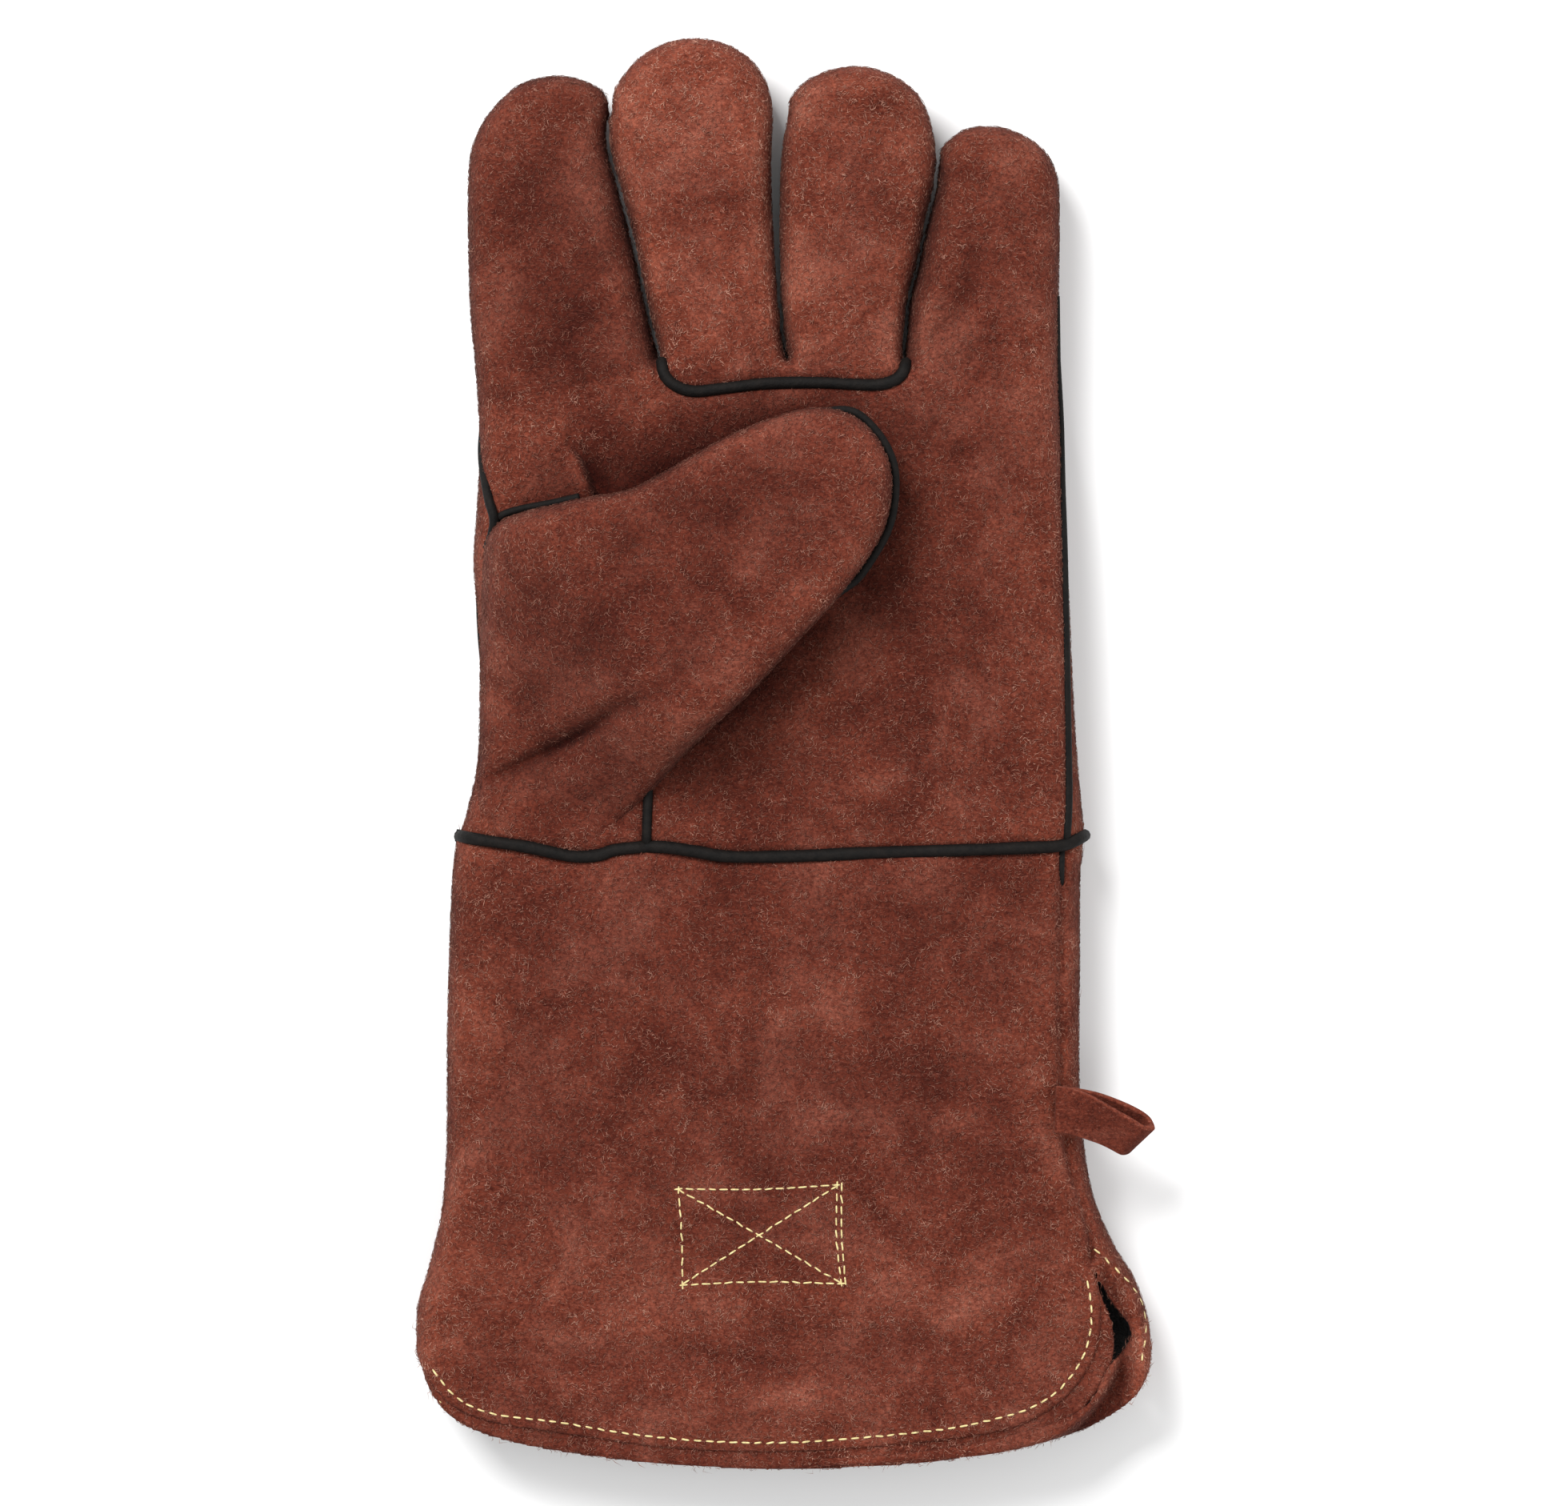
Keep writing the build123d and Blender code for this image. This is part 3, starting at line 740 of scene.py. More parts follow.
def make_suede():
    tree, shader, place = new_material("suede")
    clouds = noise(tree, place, 24, 7.0, 0.66, 0.6)
    blotches = noise(tree, place, 5.0, 5.0, 0.7, 0.8)
    grain = noise(tree, place, 0.9, 4.0, 0.8, 0.5)
    streaks = noise(tree, stretched(tree, place, 35, 0.22), 0.42, 2.0, 0.6, 1.6)
    cross_streaks = noise(tree, stretched(tree, place, -50, 0.22), 0.42, 2.0, 0.6, 1.6)
    dark, usual, light = (0.055, 0.0086, 0.0042), (0.092, 0.0176, 0.0094), (0.145, 0.0375, 0.0232)
    base = ramp(tree, clouds, [(0.33, dark), (0.5, usual), (0.68, light)])
    stops = [(0.3, (0.43, 0.40, 0.40)), (0.5, GREY), (0.72, (0.57, 0.60, 0.60))]
    patches = ramp(tree, blotches, stops)
    colour = blended(tree, 0.75, base, patches, "OVERLAY")
    fine = ramp(tree, grain, [(0.36, (0.26, 0.21, 0.20)), (0.5, GREY), (0.64, (0.75, 0.80, 0.80))])
    colour = blended(tree, 1.0, colour, fine, "OVERLAY")
    pale = tree.nodes.new("ShaderNodeRGB")
    pale.outputs[0].default_value = (0.25, 0.090, 0.062, 1)
    for value in (streaks, cross_streaks):
        mask = ramp(tree, value, [(0.6, (0, 0, 0)), (0.74, (0.55, 0.55, 0.55))])
        colour = blended(tree, mask, colour, pale.outputs[0])
    tree.links.new(with_painted_shade(tree, colour), shader.inputs["Base Color"])
    shader.inputs["Roughness"].default_value = 0.95
    shader.inputs["Specular IOR Level"].default_value = 0.12
    shader.inputs["Sheen Weight"].default_value = 0.03
    shader.inputs["Sheen Roughness"].default_value = 0.55
    shader.inputs["Sheen Tint"].default_value = (0.80, 0.50, 0.42, 1)
    scratches = [(streaks, 0.2, 0.6), (cross_streaks, 0.2, 0.6)]
    bumped(tree, shader, [(blotches, 1.2, 0.45), (grain, 0.35, 0.8), *scratches])


def make_fibre():
    tree, shader, place = new_material("fibre")
    mixed = noise(tree, place, 3.0, 2.0, 0.6)
    stops = [(0.35, (0.135, 0.040, 0.026)), (0.5, (0.205, 0.080, 0.055)), (0.68, (0.34, 0.158, 0.112))]
    tree.links.new(with_painted_shade(tree, ramp(tree, mixed, stops)), shader.inputs["Base Color"])
    shader.inputs["Roughness"].default_value = 0.8
    shader.inputs["Specular IOR Level"].default_value = 0.2


def make_welt():
    tree, shader, place = new_material("welt")
    worn = noise(tree, place, 2.2, 4.0, 0.65)
    colour = ramp(tree, worn, [(0.35, (0.0015, 0.0011, 0.0009)), (0.7, (0.0065, 0.0046, 0.0036))])
    tree.links.new(colour, shader.inputs["Base Color"])
    shader.inputs["Roughness"].default_value = 0.75
    shader.inputs["Specular IOR Level"].default_value = 0.18
    bumped(tree, shader, [(noise(tree, place, 0.8, 3.0, 0.6), 0.3, 0.7)])


def make_lining():
    tree, shader, place = new_material("lining")
    wool = noise(tree, place, 1.6, 4.0, 0.7, 1.0)
    colour = ramp(tree, wool, [(0.35, (0.006, 0.006, 0.006)), (0.7, (0.03, 0.028, 0.027))])
    tree.links.new(colour, shader.inputs["Base Color"])
    shader.inputs["Roughness"].default_value = 1.0
    shader.inputs["Specular IOR Level"].default_value = 0.15
    shader.inputs["Sheen Weight"].default_value = 0.1
    bumped(tree, shader, [(wool, 0.8, 0.9)])


def make_thread():
    tree, shader, place = new_material("thread")
    ply = noise(tree, stretched(tree, place, 45, 0.5), 0.5, 2.0, 0.5)
    stops = [(0.3, (0.46, 0.36, 0.15)), (0.6, (0.72, 0.59, 0.27)), (0.8, (0.86, 0.76, 0.44))]
    colour = ramp(tree, ply, stops)
    tree.links.new(colour, shader.inputs["Base Color"])
    shader.inputs["Roughness"].default_value = 0.6
    shader.inputs["Sheen Weight"].default_value = 0.2
    bumped(tree, shader, [(ply, 0.15, 0.6)])


# ---------------------------------------------------------------- hand and fingers

PAINTED_SHADES = {}

# The suede pieces that fibres grow on: name, points, normals, faces and painted shade with tone
GROWN = []
FINGER_TINTS = (-0.36, 0.36, 0.14, -0.14)
THUMB_TINT = -0.22


def seam_y(x):
    """The wrist seam's place along Y at a given X."""
    line = smooth(WRIST_SEAM)
    return np.interp(x, line[:, 0], line[:, 1])


def gap_x(gap, y):
    """The X of the line between two fingers at a given Y."""
    line = np.array([(x, y) for x, y, _ in reversed(gap)])
    return np.interp(y, line[:, 1], line[:, 0])


def ahead_of(joint_name, points, back=0.0):
    """How far each point lies beyond a hinge, along the way its child points."""
    pivot, ahead = along_joint(joint_name)
    return (points - pivot) @ ahead + back


def beside_gap(plan, gap, left, right, reach):
    """Relief beside a gap between fingers, of one height on its left and another on its right."""
    near, _ = beside(smooth([(x, y) for x, y, _ in gap]), plan.x, plan.y)
    return np.where(plan.x < gap_x(gap, plan.y), left, right) * np.exp(-((near / reach) ** 2))


# The fold across the thumb's root, which the palm under it follows
THUMB_CREASE = [(-84, -12), (-74, -7.6), (-64, -2.5), (-51, 4), (-43, 9), (-34, 14)]


def shape_hand():
    plan = Plan((-93, -50), (87, 181))
    hand = Pillow(plan, hand_outline(), 6.0, HAND_SEAM, HAND_TOP - HAND_SEAM, HAND_SEAM)
    x, y = plan.x, plan.y
    relief = 0.35 * ripple(x, y, 34, 1) + 0.22 * ripple(x, y, 13, 2) + 0.10 * ripple(x, y, 5, 3) - 0.6
    relief += groove(plan, FINGER_BASE_SEAM, 1.7, 1.5)
    relief += groove(plan, WRIST_SEAM, 1.8, 1.6)
    relief += groove(plan, THUMB_HOLE_SEAM, 1.5, 1.0)
    for fold in (
        ([(29.5, 96), (35, 100), (42, 107), (46, 116), (47, 126)], 2.3, -1.6),
        ([(31, 104), (36, 110), (40, 119), (41, 130)], 2.6, 1.3),
        ([(36, 92), (46, 96), (54, 104)], 4.5, -0.8),
    ):
        relief += crease(plan, *fold)
    relief += tuck(plan, [(-45.4, 58), (-46.4, 62.5), (-47.8, 67), (-49.8, 71.5), (-53, 75)], 6.5, 2.6)
    for fold in (
        ([(-62, 63), (-56, 69), (-54, 76)], 3.0, -0.8),
        ([(-70, 64), (-63, 74), (-60, 84)], 3.5, 0.6),
        ([(-66, 84), (-52, 88), (-38, 87)], 5.0, -0.7),
        (THUMB_CREASE, 3.4, -4.6),
        ([(10, 5), (30, 0), (55, 4)], 7.0, -0.8),
        ([(-20, -14), (15, -10), (50, -15)], 5.0, 0.6),
    ):
        relief += crease(plan, *fold)
    relief += beside_gap(plan, INDEX_GAP, -3.4, 0.9, 4.0)
    relief += beside_gap(plan, RING_GAP, 0.7, -2.8, 3.6)
    near, _ = beside(smooth(LITTLE_SIDE_SEAM), x, y)
    past_seam = x > np.interp(y, [-22, 0, 46, 96, 112], [69.0, 69.4, 68.5, 67.2, 67.3])
    valley = -1.2 * np.exp(-((near / 1.3) ** 2)) * ease((104 - y) / 20)
    relief += np.where(past_seam & (y < 100), -1.6, valley)
    hand.relief = relief
    hand.bottom = hand.bottom + groove(plan, WRIST_SEAM, 1.8, 1.3)
    return hand


def finger_of(points):
    """0 for the hand, 1 to 4 for the index to the little finger, at each point."""
    x, y = points[:, 0], points[:, 1]
    order = (x > gap_x(INDEX_GAP, y)).astype(int) + (x > gap_x(MIDDLE_GAP, y)) + (x > gap_x(RING_GAP, y))
    chosen = np.zeros(len(points), int)
    for k, name in enumerate(FINGERS):
        beyond = ahead_of(f"{name}_curl", points, FINGER_BEND[0]) > 0
        chosen[(order == k) & beyond] = k + 1
    return chosen


def fleece_sheet(field, depth, half):
    """The level field of a fleece inside a shape, on every second point of the shape's grid."""
    return np.abs(field[::2, ::2, ::2] + depth) - half


def cut_skin(skin, chosen, name, material, nodes, tint=0.0):
    """The chosen faces of a skin as a padded piece of suede or lining, in place of CAD nodes."""
    points, normals, faces = skin.part(chosen)
    tone = None
    if material == "suede":
        # Suede gets painted shade and light from the height maps, with its tint.
        tone = PAINTED_SHADES["thumb" if name.startswith("thumb") else "glove"].tone(points, normals, tint)
        GROWN.append((name, points, normals, faces, tone))
    piece = make_piece(name, points, faces, material, normals, nodes, tone)
    return piece


def build_hand(hand):
    """The leather of the hand and the four fingers, and the lining inside it."""
    z = np.arange(-1.4, HAND_TOP + HEADROOM, VOXEL)
    field = hand.distance(z)
    low = (*hand.plan.low, z[0])
    skin = Skin(field, low, VOXEL)
    middle = skin.centres()
    keep = middle[:, 1] > seam_y(middle[:, 0])
    above = middle[:, 2] > hand.seam.mean()
    owner = finger_of(middle)
    palm = keep & above & (owner == 0)
    palm_nodes = ("palm_panel", "middle_fingers_insert_panel")
    bend_wrist(cut_skin(skin, palm, "palm_leather", "suede", palm_nodes))
    back = keep & ~above & (owner == 0)
    bend_wrist(cut_skin(skin, back, "back_leather", "suede", ("back_panel",)))
    for k, name in enumerate(FINGERS):
        tints = {"palm": FINGER_TINTS[k], "back": 0.0}
        for face, side in (("palm", above), ("back", ~above)):
            chosen = side & (owner == k + 1)
            nodes = (f"{name}_finger_{face}_panel",)
            leather = f"{name}_{face}_leather"
            piece = cut_skin(skin, chosen, leather, "suede", nodes, tints[face])
            bend_finger(piece, name)

    inner = Skin(fleece_sheet(field, *HAND_FLEECE), low, 2 * VOXEL)
    middle = inner.centres()
    keep = middle[:, 1] > seam_y(middle[:, 0])
    owner = finger_of(middle)
    bend_wrist(cut_skin(inner, keep & (owner == 0), "hand_fleece", "lining", ("hand_lining",)))
    for k, name in enumerate(FINGERS):
        nodes = (f"{name}_finger_lining",)
        piece = cut_skin(inner, owner == k + 1, f"{name}_fleece", "lining", nodes)
        bend_finger(piece, name)


# ---------------------------------------------------------------- thumb


def shape_thumb():
    plan = Plan((-80, -38), (31, 89))
    points = np.stack([plan.x.ravel(), plan.y.ravel(), np.zeros(plan.x.size)], 1)
    ahead = ahead_of("thumb_lift", points).reshape(plan.x.shape)
    free = ease((ahead + 30) / 34)
    root_top = HAND_TOP + 1.0
    rise = ease((ahead + 50) / 44) * ease((plan.y + 30) / 40)
    top = root_top + (THUMB_TOP - root_top) * rise
    seam = HAND_SEAM + (37.6 - HAND_SEAM) * np.minimum(free, rise + 0.02)
    low = 9.0 + (THUMB_LOW + 0.3 - 9.0) * ease((ahead + 17) / 15)
    low = np.minimum(low, seam - 1.5)
    thumb = Pillow(plan, smooth(THUMB_EDGE, closed=True, spacing=1.5), 5.6, seam, top - seam, seam - low)
    x, y = plan.x, plan.y
    relief = 0.35 * ripple(x, y, 30, 11) + 0.25 * ripple(x, y, 12, 12) + 0.10 * ripple(x, y, 5, 13) - 0.7
    for fold in (
        ([(-77, -9), (-64, -2.5), (-51, 4), (-41, 10), (-32, 15), (-22, 21)], 3.2, -2.0),
        (THUMB_CREASE, 1.5, -1.8),
        ([(-74, -2), (-60, 6), (-46, 14), (-34, 20)], 4.5, 1.3),
        ([(-70, -14), (-54, -8), (-38, -1)], 4.5, 0.9),
        ([(-42, -22), (-34, -9), (-24, 2), (-14, 12)], 3.5, 0.8),
        ([(-44, 58), (-38, 50), (-36, 40)], 3.4, -1.0),
    ):
        relief += crease(plan, *fold)
    relief += groove(plan, WRIST_SEAM, 1.8, 1.6)
    thumb.relief = relief
    return thumb


def build_thumb(thumb, hand):
    """The thumb's leather, from its root at the glove's edge to its free end over the palm."""
    z = np.arange(6.0, THUMB_TOP + HEADROOM, VOXEL)
    field = thumb.distance(z)
    low = (*thumb.plan.low, z[0])
    skin = Skin(field, low, VOXEL)
    middle = skin.centres()
    ahead = ahead_of("thumb_lift", middle)
    height = hand.height(middle[:, 0], middle[:, 1])
    sunk = (middle[:, 2] < height - 0.9) & (hand.plan.at(hand.gap, middle[:, 0], middle[:, 1]) < -0.9)
    seam = thumb.plan.at(thumb.seam, middle[:, 0], middle[:, 1])
    under = middle[:, 2] < seam - 0.2
    keep = (middle[:, 1] > seam_y(middle[:, 0])) & ~(sunk & (ahead < -6)) & ~(under & (ahead < -18))
    root = ahead < -THUMB_BEND[0]
    for name, chosen, bent, tint in (
        ("root", keep & root, bend_wrist, THUMB_TINT),
        ("outer", keep & ~root & ~under, bend_thumb, THUMB_TINT),
        ("inner", keep & ~root & under, bend_thumb, 0.0),
    ):
        nodes = (f"thumb_{name}_panel",)
        bent(cut_skin(skin, chosen, f"thumb_{name}_leather", "suede", nodes, tint))

    inner = Skin(fleece_sheet(field, *HAND_FLEECE), low, 2 * VOXEL)
    free = ahead_of("thumb_lift", inner.centres()) > -THUMB_BEND[0]
    bend_thumb(cut_skin(inner, free, "thumb_fleece", "lining", ("thumb_lining",)))


# ---------------------------------------------------------------- cuff


def shape_cuff():
    plan = Plan((-97, -206), (97, 14), CUFF_VOXEL)
    outline = np.concatenate([smooth(CUFF_LEFT), smooth(CUFF_RIGHT)])
    cuff = Pillow(plan, outline, 6.0, HAND_SEAM, CUFF_TOP - HAND_SEAM, HAND_SEAM)
    x, y = plan.x, plan.y
    relief = 0.40 * ripple(x, y, 36, 21) + 0.22 * ripple(x, y, 14, 22) + 0.08 * ripple(x, y, 5, 23) - 0.7
    relief += groove(plan, WRIST_SEAM, 1.8, 1.6)
    relief += groove(plan, CUFF_SEAM, 0.95, 1.7)
    past_seam = (x > np.interp(y, *np.array(CUFF_SEAM[::-1]).T[::-1])) & (y > -124)
    relief += np.where(past_seam, -1.3, 0)
    for fold in (
        ([(-70, -146), (-50, -149), (-25, -148), (0, -151), (30, -149)], 4.5, -1.6),
        ([(-20, -143), (15, -145), (45, -146), (66, -142)], 5.5, -1.3),
        ([(-74, -153), (-52, -156), (-30, -155)], 4.0, 0.9),
        ([(-15, -158), (20, -157), (52, -153)], 4.5, 0.9),
        ([(-78, -60), (-50, -66), (-20, -60)], 8.0, -0.7),
        ([(-10, -84), (25, -80), (60, -86)], 8.0, -0.6),
    ):
        relief += crease(plan, *fold)
    cuff.relief = relief
    cuff.bottom = cuff.bottom + groove(plan, WRIST_SEAM, 1.8, 1.3)
    return cuff


def hem_regions(plan):
    """Signed plan distances from the hem lines: negative where the leather is kept."""
    x, y = plan.x, plan.y
    over = [(-140, -148), (-140, 90), (140, 90), (140, -123.6)]
    panel = outside(closing(PANEL_EDGE, over), x, y)
    band = outside(closing(BAND_EDGE, over), x, y)
    back = outside(closing(BACK_EDGE, [(-140, -143), (-140, 90), (140, 90), (140, -143)]), x, y)
    curl = outside(closing(CURL_EDGE, [(8, -220), (140, -220), (140, -118)]), x, y)
    return panel, band, back, curl


def by_height(front, back, z):
    """A plan map for the palm side above the seam and another for the back side, eased over."""
    share = ease((HAND_SEAM + 4 - z) / 8)[None, None, :]
    return (front[:, :, None] * (1 - share) + back[:, :, None] * share).astype(np.float32)


def build_cuff(cuff):
    """The gauntlet's leather, its rolled hem and its fleece."""
    plan = cuff.plan
    z = np.arange(-1.5, CUFF_TOP + HEADROOM, plan.step)
    low = (*plan.low, z[0])
    panel, band, back, curl = hem_regions(plan)
    strip = np.maximum(curl, back)
    sunk = 6.5 * ease((band - 0.4) / 2.5) * ease((-cuff.gap - 1.8) / 6.5) * (plan.y < -121)
    cuff.relief = cuff.relief - sunk
    field = cuff.distance(z)
    half = LEATHER / 2

    sheet = np.abs(field + half) - half
    region = by_height(np.minimum(panel, strip), back + 6.0, z)
    region = np.where((strip < 2)[:, :, None], np.minimum(region, by_height(strip, back + 6.0, z)), region)
    skin = Skin(rounded(sheet, region, 0.8), low, plan.step)
    middle = skin.centres()
    keep = middle[:, 1] < seam_y(middle[:, 0])
    above = middle[:, 2] > HAND_SEAM
    nodes = ("gauntlet_panel",)
    bend_wrist(cut_skin(skin, keep & above, "gauntlet_palm_leather", "suede", nodes))
    bend_wrist(cut_skin(skin, keep & ~above, "gauntlet_back_leather", "suede", nodes))

    inset, half = 1.0, 0.9
    sheet = np.abs(field + inset + half) - half
    lip = by_height(np.minimum(band, strip + 1.0), back, z)
    under = by_height(panel, back + 6.0, z) + 4.0
    rolled = rounded(sheet, np.maximum(lip, -under), 0.85)
    skin = Skin(rolled, low, plan.step)
    everything = np.ones(len(skin.faces), bool)
    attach(cut_skin(skin, everything, "hem_band_leather", "suede", ("hem_band",)), "cuff")

    inner = fleece_sheet(field, *CUFF_FLEECE)
    edge = by_height(np.minimum(band, strip + 0.5)[::2, ::2] + 3.0, back[::2, ::2] + 3.0, z[::2])
    skin = Skin(rounded(inner, edge, 0.7), low, 2 * plan.step)
    keep = skin.centres()[:, 1] < seam_y(skin.centres()[:, 0]) + 1.5
    bend_wrist(cut_skin(skin, keep, "gauntlet_fleece", "lining", ("gauntlet_lining",)))


# ---------------------------------------------------------------- welts, sewing and loop


def laid(path, height, lift, spacing=1.0):
    """A plan path as a 3-D one, lying lift above the surface that height gives."""
    path = even(smooth(path), spacing)
    return np.column_stack([path, height(path[:, 0], path[:, 1]) + lift])


def cord(name, path, radius, node):
    """A welt: a cord with a slightly uneven thickness and course."""
    rng = np.random.default_rng(len(name) * 7 + len(path))
    walk = np.arange(len(path))
    wobble = sum(np.sin(walk / rng.uniform(2.0, 9.0) + rng.uniform(0, 6)) for _ in range(4)) / 4
    return piece_of(name, tube(path, radius * (1 + 0.07 * wobble)), "welt", node)


def finger_seam(k):
    """The plan course of a finger's side seam: up one side, round the tip and down the other."""
    first = [LEFT_SIDE[-1:], right_wall(INDEX_GAP), right_wall(MIDDLE_GAP), right_wall(RING_GAP)][k]
    tips = [INDEX_TIP, MIDDLE_TIP, RING_TIP, LITTLE_TIP][k]
    last = [left_wall(INDEX_GAP), left_wall(MIDDLE_GAP), left_wall(RING_GAP), RIGHT_SIDE[:3]][k]
    return first + tips + last


def inward(path, amount):
    """A plan path moved to its right side (the inside, when it runs clockwise)."""
    path = np.array(path, float)
    ahead = unit(np.gradient(path, axis=0))
    return path + amount * np.stack([ahead[:, 1], -ahead[:, 0]], 1)


def build_welts(hand, thumb, cuff):
    palm = hand.height
    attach(cord("finger_base_cord", laid(FINGER_BASE_SEAM, palm, 0.75), 1.45, "finger_base_welt"), "hand")
    for k, name in enumerate(FINGERS):
        line = even(smooth(finger_seam(k)), 1.0)
        between = np.min([beside(smooth(left_wall(gap)), *line.T)[0] for gap in GAPS], axis=0)
        line = inward(line, 1.0 + 1.1 * ease((3.5 - between) / 2)[:, None])
        path = np.column_stack([line, np.full(len(line), HAND_SEAM - 1.0)])
        bend_finger(cord(f"{name}_seam_cord", path, 1.0, f"{name}_finger_welt"), name)
    path = even(smooth(THUMB_SIDE_SEAM), 1.0)
    bend_wrist(cord("thumb_side_cord", path, 1.15, "thumb_side_welt"))
    path = even(smooth(LITTLE_SIDE_SEAM), 1.0)
    on_top = palm(path[:, 0], path[:, 1]) + 0.1
    level = np.maximum(HAND_SEAM - 1 + 4 * ease((110 - path[:, 1]) / 30), on_top)
    path = np.column_stack([path, level - 2.8 * ease((path[:, 1] - 72) / 16)])
    bend_wrist(cord("little_side_cord", path, 1.1, "little_finger_side_welt"))
    bend_wrist(cord("thumb_hole_cord", laid(THUMB_HOLE_SEAM, palm, 0.8), 1.2, "thumb_root_welt"))
    web = [(-71.2, 56.4), (-68.6, 58.2), (-64, 59.6), (-56.5, 61.0), (-50, 62.4)]
    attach(cord("thumb_web_cord", laid(web, palm, 0.6), 1.0, "thumb_root_welt"), "hand")

    edge = even(smooth(THUMB_EDGE[9:26]), 1.0)
    shown = ease((edge[:, 0] - 8) / 10) * ease((edge[:, 1] - 34) / 10)
    line = inward(edge, 1.2) + (edge - inward(edge, 1.0)) * (2.1 * shown)[:, None]
    path = np.column_stack([line, thumb.plan.at(thumb.seam, line[:, 0], line[:, 1]) + 0.6])
    bend_thumb(cord("thumb_seam_cord", path, 1.05, "thumb_welt"))

    path = laid(WRIST_SEAM, palm, 0.95)
    path[:, 2] = np.maximum(path[:, 2], 12.8)
    bend_wrist(cord("wrist_cord", path, 1.5, "wrist_welt"))
    path = laid(WRIST_SEAM, hand.floor, 0.25)
    path[:, 2] = np.clip(path[:, 2], 1.3, 12.0)
    bend_wrist(cord("wrist_back_cord", path, 1.25, "wrist_welt"))
    path = laid(CUFF_SEAM, cuff.height, 0.3)
    path[:, 2] -= 3.0 * ease((-29 - path[:, 1]) / 7)
    bend_wrist(cord("gauntlet_side_cord", path, 0.8, "gauntlet_side_welt"))


def sewn(path, height, length, pitch, radius, seed, lift=0.1, side=1.0):
    """A row of stitches along a plan path, each a short rounded cord of its own."""
    rng = np.random.default_rng(seed)
    dense = even(smooth(path), 0.25)
    count = int(np.linalg.norm(np.diff(dense, axis=0), axis=1).sum() / pitch)
    spots = np.linspace(0.5, len(dense) - 1.5, count)
    parts = []
    for spot in spots:
        i = int(spot)
        ahead = unit(dense[min(i + 3, len(dense) - 1)] - dense[max(i - 3, 0)])
        angle = rng.normal(0, 0.09)
        turned = np.array([ahead[0] - ahead[1] * angle, ahead[1] + ahead[0] * angle])
        half = length * rng.uniform(0.92, 1.08) / 2
        t = np.linspace(-1, 1, 7)
        line = dense[i] + turned * (t * half)[:, None]
        z = np.maximum(height(line[:, 0], line[:, 1]) + side * (lift - 0.35 * t**4), radius + 0.05)
        parts.append(tube(np.column_stack([line, z]), radius * np.sqrt(1.05 - t**4 * 0.8), 8))
    return joined(parts)


HEM_SEWING = [
    (-85.3, -151.5), (-79.8, -157.6), (-71.2, -161.4), (-55.3, -163.5), (-38.1, -166.3),
    (-22.2, -167.9), (-3.8, -168.5), (14.4, -167.6), (38.9, -165.2), (52, -162.6), (60.5, -159.9),
    (67.6, -155.2), (72.6, -148.4), (74.7, -142), (75.1, -135.5), (74.2, -129.6),
]  # fmt: skip
HEM_TICKS = [
    (-84, -158.6), (-77, -163.6), (-66, -166.6), (-50, -169.2), (-30, -171.6), (0, -173), (30, -171.7),
    (50, -168.9), (62, -165.6), (70.5, -160.6), (76.5, -153.4), (78.6, -146), (78.2, -138.8),
]  # fmt: skip
CURL_SEWING = [(76.6, -121.9), (80.4, -125.4), (84.6, -129.8), (87.6, -134.6), (88.6, -141), (87.6, -148)]


def build_sewing(cuff):
    top = cuff.height
    rows = [sewn(HEM_SEWING, top, 2.05, 2.9, 0.235, 5), sewn(CURL_SEWING, top, 1.9, 2.85, 0.225, 6)]
    below = [(x, y) for x, y in HEM_SEWING if x < 72]
    rows.append(sewn(below, cuff.floor, 2.15, 2.95, 0.28, 7, 0.0, -1.0))
    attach(piece_of("hem_thread", joined(rows), "thread", "hem_stitching"), "cuff")
    ticks = sewn(HEM_TICKS, top, 0.9, 3.3, 0.2, 8, -1.15)
    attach(piece_of("hem_second_thread", ticks, "thread", "hem_second_stitching"), "cuff")

    a, b, c, d = (-25.8, -106.5), (13.0, -105.5), (14.0, -129.6), (-24.8, -130.0)
    sides = [
        [a, (-6, -106.6), b], [b, (12.8, -118), c], [c, (-6, -129.2), d], [d, (-25.0, -118), a],
        [(14.1, -106), (14.1, -118), (15.0, -129.2)],
        [(-25.2, -107), (-6.2, -117.8), (13.2, -129)], [(12.4, -106.1), (-5.6, -117.5), (-24.2, -129.4)],
    ]  # fmt: skip
    rows = [sewn(line, top, 2.25, 2.5, 0.21, 30 + k) for k, line in enumerate(sides)]
    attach(piece_of("box_thread", joined(rows), "thread", "box_stitching"), "cuff")


def slab_piece(name, low, high, material, node):
    """A soft flat pad between two corners, for what is hidden between leather and fleece."""
    x, y, z = ((low[k], high[k]) for k in range(3))
    corners = [(a, b, c) for a in x for b in y for c in z]
    faces = [(0, 1, 3, 2), (4, 6, 7, 5), (0, 4, 5, 1), (2, 3, 7, 6), (0, 2, 6, 4), (1, 5, 7, 3)]
    return make_piece(name, np.array(corners, float), np.array(faces), material, None, (node,))


def build_patch():
    low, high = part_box("box_patch")
    low, high = np.array(low) / MM, np.array(high) / MM
    patch = slab_piece("box_backing", low + 0.3, high - 0.3, "lining", "box_patch")
    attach(patch, "cuff")


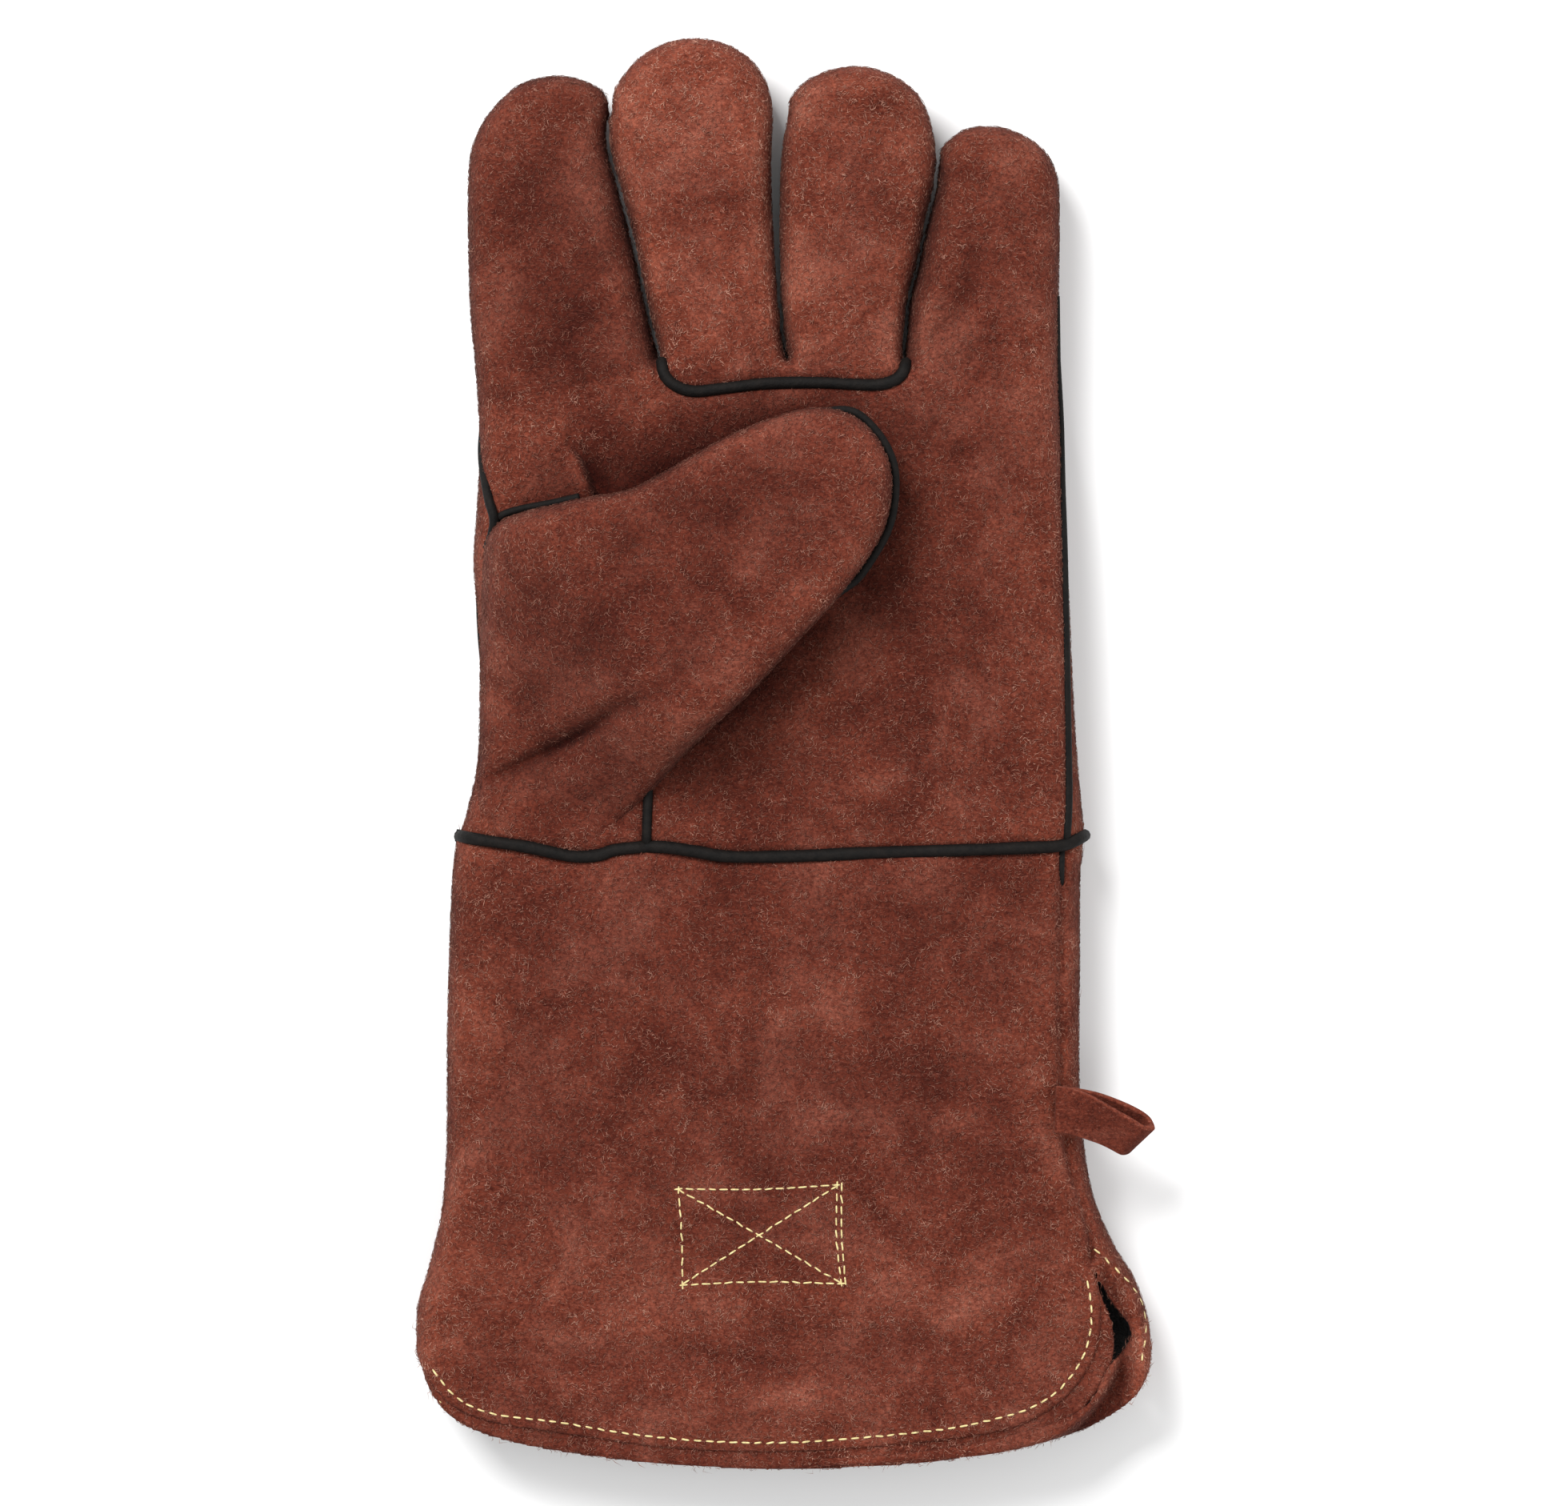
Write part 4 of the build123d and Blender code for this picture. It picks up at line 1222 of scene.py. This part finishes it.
def build_loop():
    """The hanging loop: a strap that leaves the seam, folds over at its end and comes back.
    Towards its end it is turned up on edge, so that the fold shows from above."""
    reach, spread, strap = 21.5, 1.7, 0.85
    out = [(0, -0.95), (0.25, -1.0), (0.55, -1.25), (0.8, -1.5), (0.93, -1.35), (1.0, -0.35)]
    back = [(1.0, 0.35), (0.93, 1.3), (0.8, 1.3), (0.55, 1.1), (0.25, 0.95), (0, 0.95)]
    path = smooth(out + back, spacing=0.02)
    t, apart = path[:, 0], path[:, 1] * spread * (0.55 + 0.45 * ease(path[:, 0] * 2))
    bend = 0.05 + 0.62 * t**1.6
    across = 66.2 + reach * t * np.cos(0.45 * bend)
    down = -87.0 - reach * 0.33 * t**1.7
    centre = np.stack([across, down, 27.3 - 0.9 * t], 1)
    tilt = 0.62 * ease(t * 1.4)
    width = unit(np.stack([np.sin(bend), np.cos(bend) * np.cos(tilt), np.sin(tilt)], 1))
    along = np.stack([np.cos(bend), -np.sin(bend), -0.05 * np.ones(len(t))], 1)
    out_of_plane = unit(np.cross(along, width))
    line = centre + out_of_plane * apart[:, None]
    ahead = unit(np.gradient(line, axis=0))
    thick = unit(np.cross(ahead, width))
    half = (5.7 - 0.5 * t)[:, None]
    corners = [(-1, -0.6), (-0.95, -1), (0.95, -1), (1, -0.6), (1, 0.6), (0.95, 1), (-0.95, 1), (-1, 0.6)]
    ring = np.stack([line + width * half * u + thick * strap * v for u, v in corners], 1)
    points = ring.reshape(-1, 3)
    n, sides = len(line), len(corners)
    faces = [
        (i * sides + k, i * sides + (k + 1) % sides, (i + 1) * sides + (k + 1) % sides, (i + 1) * sides + k)
        for i in range(n - 1)
        for k in range(sides)
    ]
    for start, order in ((0, (7, 6, 5, 4, 3, 2, 1, 0)), ((n - 1) * sides, (0, 1, 2, 3, 4, 5, 6, 7))):
        faces += [tuple(start + order[j] for j in (0, k, k + 1, k + 2)) for k in (1, 3, 5)]
    # Painted highlight: the strap's edges are made lighter than its faces.
    edge_highlight = np.tile([0.95 if abs(u) == 1 else 0.15 for u, _ in corners], n)
    loop = make_piece("loop_strap", points, np.array(faces), "suede", None, ("hanging_loop",), edge_highlight)
    for polygon in loop.data.polygons:
        polygon.use_smooth = True
    loop.data.set_sharp_from_angle(angle=math.radians(50))
    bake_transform(loop)


# ---------------------------------------------------------------- loose fibres


# Fibres to a square millimetre
FIBRES = 1.1
BACK_FIBRES = 0.3


def fibres(points, normals, faces, tone, density, seed):
    """Short curved hairs lying on a skin: closed spindles, thickest at their bend."""
    rng = np.random.default_rng(seed)
    outer = np.sign(points[faces[:, 0], 2] - HAND_SEAM) * normals[faces[:, 0], 2] > -0.25
    faces = faces[outer]
    a, b, c, d = (points[faces[:, k]] for k in range(4))
    area = 0.5 * np.linalg.norm(np.cross(c - a, d - b), axis=1)
    count = int(area.sum() * density)
    chosen = rng.choice(len(faces), count, p=area / area.sum())
    u, v = rng.uniform(0, 1, (2, count, 1))
    start = (1 - u) * ((1 - v) * a[chosen] + v * d[chosen]) + u * ((1 - v) * b[chosen] + v * c[chosen])
    up = unit(normals[faces[chosen]].mean(1))
    ahead = unit(np.cross(up, rng.normal(size=(count, 3))))
    side = np.cross(up, ahead)
    length = rng.gamma(5.0, 0.29, (count, 1))
    bow = rng.normal(0, 0.30, (count, 1)) * length
    lift = rng.uniform(0.02, 0.16, (count, 1))
    middle = start + ahead * length * 0.5 + side * bow + up * (lift + 0.10)
    end = start + ahead * length + up * rng.uniform(-0.05, 0.28, (count, 1))
    thick = rng.uniform(0.05, 0.095, (count, 1))
    ring = [middle + thick * (side * math.cos(t) + up * math.sin(t)) for t in (0.5, 2.6, 4.7)]
    spindle = np.stack([start - up * 0.05, *ring, end], 1)
    clear = spindle[:, :, 2].min(1) > 0.02
    spindle, count = spindle[clear].reshape(-1, 3), int(clear.sum())
    # Each fibre takes the painted shade and tone of the face it grows on.
    shade = np.repeat(tone[faces[chosen]].mean(1)[clear], 5)
    corners = [(0, 2, 1), (0, 3, 2), (0, 1, 3), (4, 1, 2), (4, 2, 3), (4, 3, 1)]
    triangles = (np.arange(count)[:, None, None] * 5 + np.array(corners)).reshape(-1, 3)
    return spindle, triangles, shade


def build_fibres():
    """Loose fibres for every leather piece, each handled the same way as its piece."""
    for k, (name, *skin) in enumerate(GROWN):
        density = BACK_FIBRES if "back" in name else FIBRES
        spindles, triangles, shade = fibres(*skin, density, 900 + k)
        made = make_piece(name.replace("leather", "fibres"), spindles, triangles, "fibre", None, (), shade)
        if name.startswith(FINGERS):
            bend_finger(made, name.split("_")[0])
        elif name in ("thumb_outer_leather", "thumb_inner_leather"):
            bend_thumb(made)
        elif name == "hem_band_leather":
            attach(made, "cuff")
        else:
            bend_wrist(made)


# ---------------------------------------------------------------- stage


def build_stage():
    bpy.ops.mesh.primitive_plane_add(size=8, location=(0, 0, CAD_LOW.z - 0.0005))
    floor = bpy.context.object
    floor.name = "studio_floor"
    material = bpy.data.materials.new("studio_floor")
    material.use_nodes = True
    shader = material.node_tree.nodes["Principled BSDF"]
    shader.inputs["Base Color"].default_value = (0.86, 0.86, 0.86, 1)
    shader.inputs["Roughness"].default_value = 0.9
    floor.data.materials.append(material)

    world = bpy.data.worlds.new("studio")
    world.use_nodes = True
    world.node_tree.nodes["Background"].inputs[0].default_value = (1, 1, 1, 1)
    world.node_tree.nodes["Background"].inputs[1].default_value = 0.72
    bpy.context.scene.world = world
    for name, place, size, power in (
        ("key_light", (-0.7, 1.0, 1.5), 0.8, 40),
        ("fill_light", (0.9, -0.6, 1.4), 1.4, 11),
    ):
        data = bpy.data.lights.new(name, "AREA")
        data.size = size
        data.energy = power
        light = bpy.data.objects.new(name, data)
        light.location = place
        light.rotation_euler = (-Vector(place)).to_track_quat("-Z", "Y").to_euler()
        bpy.context.scene.collection.objects.link(light)

    bpy.context.scene.view_settings.view_transform = "Standard"
    camera_data = bpy.data.cameras.new("camera")
    camera = bpy.data.objects.new("camera", camera_data)
    reach, frame_width, focus = 2300 * MM, 384 * MM, 20 * MM
    camera_data.sensor_fit = "HORIZONTAL"
    camera_data.lens = camera_data.sensor_width * reach / frame_width
    camera_data.clip_end = 20
    camera.location = (0, 0, reach + focus)
    bpy.context.scene.collection.objects.link(camera)
    bpy.context.scene.camera = camera


make_suede()
make_fibre()
make_welt()
make_lining()
make_thread()
hand_shape = shape_hand()
thumb_shape = shape_thumb()
cuff_shape = shape_cuff()
# Painted shadow: on the glove the thumb only darkens the palm beside and under it. On the thumb all three
# shapes give painted shade and light.
PAINTED_SHADES["glove"] = PaintedShade((hand_shape, cuff_shape), (thumb_shape,))
PAINTED_SHADES["thumb"] = PaintedShade((hand_shape, thumb_shape, cuff_shape))
build_hand(hand_shape)
build_thumb(thumb_shape, hand_shape)
build_cuff(cuff_shape)
build_welts(hand_shape, thumb_shape, cuff_shape)
build_sewing(cuff_shape)
build_patch()
build_loop()
build_fibres()
build_stage()
